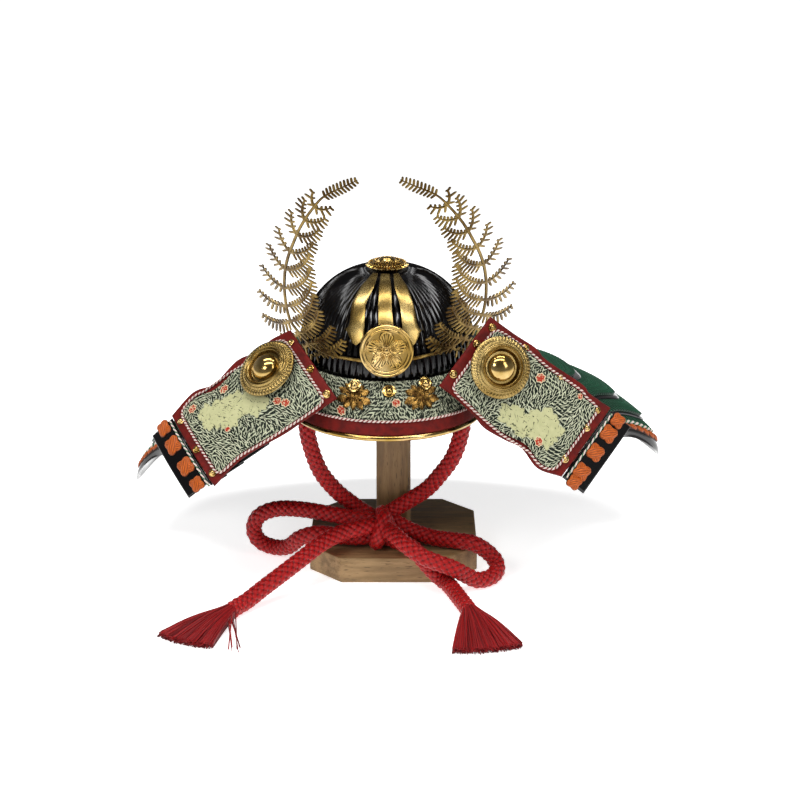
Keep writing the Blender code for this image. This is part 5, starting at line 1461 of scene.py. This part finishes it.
def even_outs(start, end, count):
    """Values of out whose steps are about even in length, measured at the back."""
    dense = np.linspace(start, end, 200)
    line = guard_surface(dense, np.full(200, 0.5))
    run = run_along(line)
    return np.interp(np.linspace(0, run[-1], count), run, dense)


LACE_COLUMNS = 144
LACE_POINTS = 6           # across one column


def make_lames():
    """Five lames: each a thin lacquered plate with green braids laced over it side by side. A braid's top
    is an arch, and its chevrons are a saw wave of the place down the lame and across the braid."""
    for number, (start, end) in enumerate(zip(LAME_EDGES[:-1], LAME_EDGES[1:])):
        tuck = 0.0 if number == 0 else LAME_TUCK
        first = start - (0.035 if number else 0.0)

        def lame(out, turn):
            out, turn = np.broadcast_arrays(np.asarray(out, float), np.asarray(turn, float))
            near_fold = np.clip(np.minimum(turn, 1 - turn) / 0.07, 0.3, 1)
            return lifted(guard_surface, out, turn, -tuck * near_fold * (end - out) / (end - start))

        around = np.linspace(0.0005, 0.9995, 261)
        plate = rounded_wall(lame, even_outs(first, end, 22), around, 0, 1.9 * MM, 0.6 * MM)[0]
        piece(f"lame_{number + 1}_lacquer_plate", Shape().add(plate), [LACQUER],
              [f"lame_{number + 1}"], 50)
        last = start + (0.48 if number == 4 else 0.86) * (end - start)
        outs = even_outs(start + 0.01 * (end - start), last, 24)
        turns = np.linspace(0.002, 0.998, LACE_COLUMNS * LACE_POINTS + 1)
        phase = (np.arange(len(turns)) / LACE_POINTS) % 1
        arch = np.sqrt(np.clip(1 - (2 * phase - 1) ** 2, 0, 1))
        run = grid_lengths(lame, outs, turns)[0] / MM
        chevron = np.abs(((run[:, None] * 0.55 + 1.6 * np.abs(phase - 0.5)[None]) % 1) - 0.5) * 2
        height = (0.1 + 1.5 * arch[None] + 0.12 * chevron * arch[None]) * MM
        out_grid, turn_grid = np.meshgrid(outs, turns, indexing="ij")
        outer = lifted(lame, out_grid, turn_grid, height)
        inner = lifted(lame, out_grid, turn_grid, -0.3 * MM)
        # Painted shade: depth falls to dark at each braid's sides and in the chevron troughs, so the gaps
        # between columns are painted dark
        depth = arch[None] ** 6 * (0.65 + 0.35 * chevron)
        wide = np.broadcast_to(phase[None], depth.shape)
        long = np.broadcast_to(run[:, None], depth.shape)
        shape = Shape().add(slab(outer, inner), depth=both_sides(depth), across=both_sides(wide),
                            run=both_sides(long))
        piece(f"lame_{number + 1}_green_lacing", shape, [GREEN_LACE], (), 75)
        if number == 4:
            make_lower_edge(lame, start, end)


def make_lower_edge(lame, start, end):
    """The lowest lame's dressing: a green and white twisted stitch, then a row of orange cross braids,
    above the bare black edge."""
    span = end - start
    line = lifted(lame, np.full(900, start + 0.53 * span), np.linspace(0.004, 0.996, 900),
                  np.full(900, 0.7 * MM))
    shape = rope(line, 1.2 * MM, 5.0 * MM, 0.55 * MM, keep=UPRIGHT)
    piece("lowest_lame_twisted_stitch", shape, [WHITE_PLY, GREEN_PLY], (), 60)
    outs = even_outs(start + 0.60 * span, start + 0.86 * span, 15)
    count = 62
    turns = np.linspace(0.004, 0.996, count * 14 + 1)
    phase = ((np.arange(count * 14 + 1) / 14) % 1) * 2 - 1
    spot = np.linspace(-1, 1, 15)
    p, q = phase[None] + spot[:, None], phase[None] - spot[:, None]
    inside = 1 - np.clip(np.abs(phase[None]) ** 1.4 + np.abs(spot[:, None]) ** 1.6, 0, 1)
    ribs = np.where(p * q > 0, p, q)
    height = (0.1 + 1.5 * np.sqrt(inside) + 0.14 * np.cos(ribs * 16) * (inside > 0.05)) * MM
    out_grid, turn_grid = np.meshgrid(outs, turns, indexing="ij")
    # Painted shade: tone darkens the grooves between the ribs, and the clip darkens each braid's edge against
    # the plate
    tone = 0.3 + 0.7 * (np.cos(ribs * 16) * 0.5 + 0.5)
    shape = Shape().add(slab(lifted(lame, out_grid, turn_grid, height),
                             lifted(lame, out_grid, turn_grid, 0 * height)),
                        depth=both_sides(tone * np.clip(inside * 6, 0.1, 1)), across=both_sides(ribs),
                        run=both_sides(p * 4))
    piece("lowest_lame_orange_braids", shape, [ORANGE_BRAID], (), 70)


make_stand()
make_bowl()
make_crown_ornament()
make_straps()
make_crest()
make_frond("fern_left_cut_sheet", -1, 0.0)
make_frond("fern_right_cut_sheet", 1, math.radians(4.5))
make_visor()
make_visor_ornaments()
for wing in WINGS:
    make_wing(wing)
make_lames()


# Floor, light and background


def make_studio():
    """A round pale floor, a surround that is white below the horizon and dark overhead, and soft lamps."""
    scene = bpy.context.scene
    turn = full_turn(96)
    rim = FLOOR_RADIUS * np.column_stack([np.cos(turn), np.sin(turn), np.zeros(len(turn))])
    mesh = bpy.data.meshes.new("floor")
    mesh.from_pydata(rim.tolist(), [], [tuple(range(len(rim)))])
    floor = bpy.data.objects.new("floor", mesh)
    scene.collection.objects.link(floor)
    material, tree, shader = new_material("back_lit_white_table", Roughness=0.9,
                                          Emission_Color="#ffffff", Emission_Strength=0.72)
    spot = add_node(tree, "TexCoord", output="Object")
    clouds = add_node(tree, "TexNoise", {"Vector": spot, "Scale": 3.0, **FINE})
    shade = add_node(tree, "Mix", {0: clouds, 6: "#f6f6f5", 7: "#fafafa"}, **MIX)
    connect(tree, shader, Base_Color=shade)
    mesh.materials.append(material)
    world = bpy.data.worlds.new("pale_surround")
    world.use_nodes = True
    tree = world.node_tree
    heading = add_node(tree, "TexCoord", output="Generated")
    height = add_node(tree, "SeparateXYZ", {0: heading}, output="Z")
    overhead = add_node(tree, "MapRange", {0: height, 1: 0.12, 2: 0.55}, **SMOOTH)
    walls = add_node(tree, "Mix", {0: overhead, 6: (0.30, 0.30, 0.30, 1.0), 7: (0.14, 0.14, 0.145, 1.0)},
                     **MIX)
    horizon = add_node(tree, "MapRange", {0: height, 1: -0.10, 2: -0.02}, **SMOOTH)
    sky = add_node(tree, "Mix", {0: horizon, 6: (1.1, 1.1, 1.1, 1.0), 7: walls}, **MIX)
    tree.links.new(sky, tree.nodes["Background"].inputs["Color"])
    scene.world = world
    for name, place, aim, width, height, power in (
            ("strip_lamp_above", (0.0, 0.20, 1.35), (0, 0.05, 0.1), 1.5, 0.16, 10.0),
            ("strip_lamp_before", (0.0, -0.42, 1.25), (0, 0.0, 0.1), 1.5, 0.16, 10.0),
            ("soft_lamp_left", (-0.75, -0.95, 0.95), (0, 0, 0.12), 0.5, 0.35, 5.0),
            ("soft_lamp_right", (0.85, -0.75, 0.75), (0, 0, 0.12), 0.25, 0.6, 3.0)):
        data = bpy.data.lights.new(name, "AREA")
        data.shape = "RECTANGLE"
        data.size, data.size_y, data.energy = width, height, power
        lamp = bpy.data.objects.new(name, data)
        away = unit(np.array(place) - np.array(aim))
        x = unit(np.cross([0, 1.0, 0] if abs(away[2]) > 0.9 else [0, 0, 1.0], away))
        y = np.cross(away, x)
        lamp.matrix_world = Matrix([(x[k], y[k], away[k], place[k]) for k in range(3)] + [(0, 0, 0, 1)])
        scene.collection.objects.link(lamp)
    scene.view_settings.view_transform = "Standard"


make_studio()
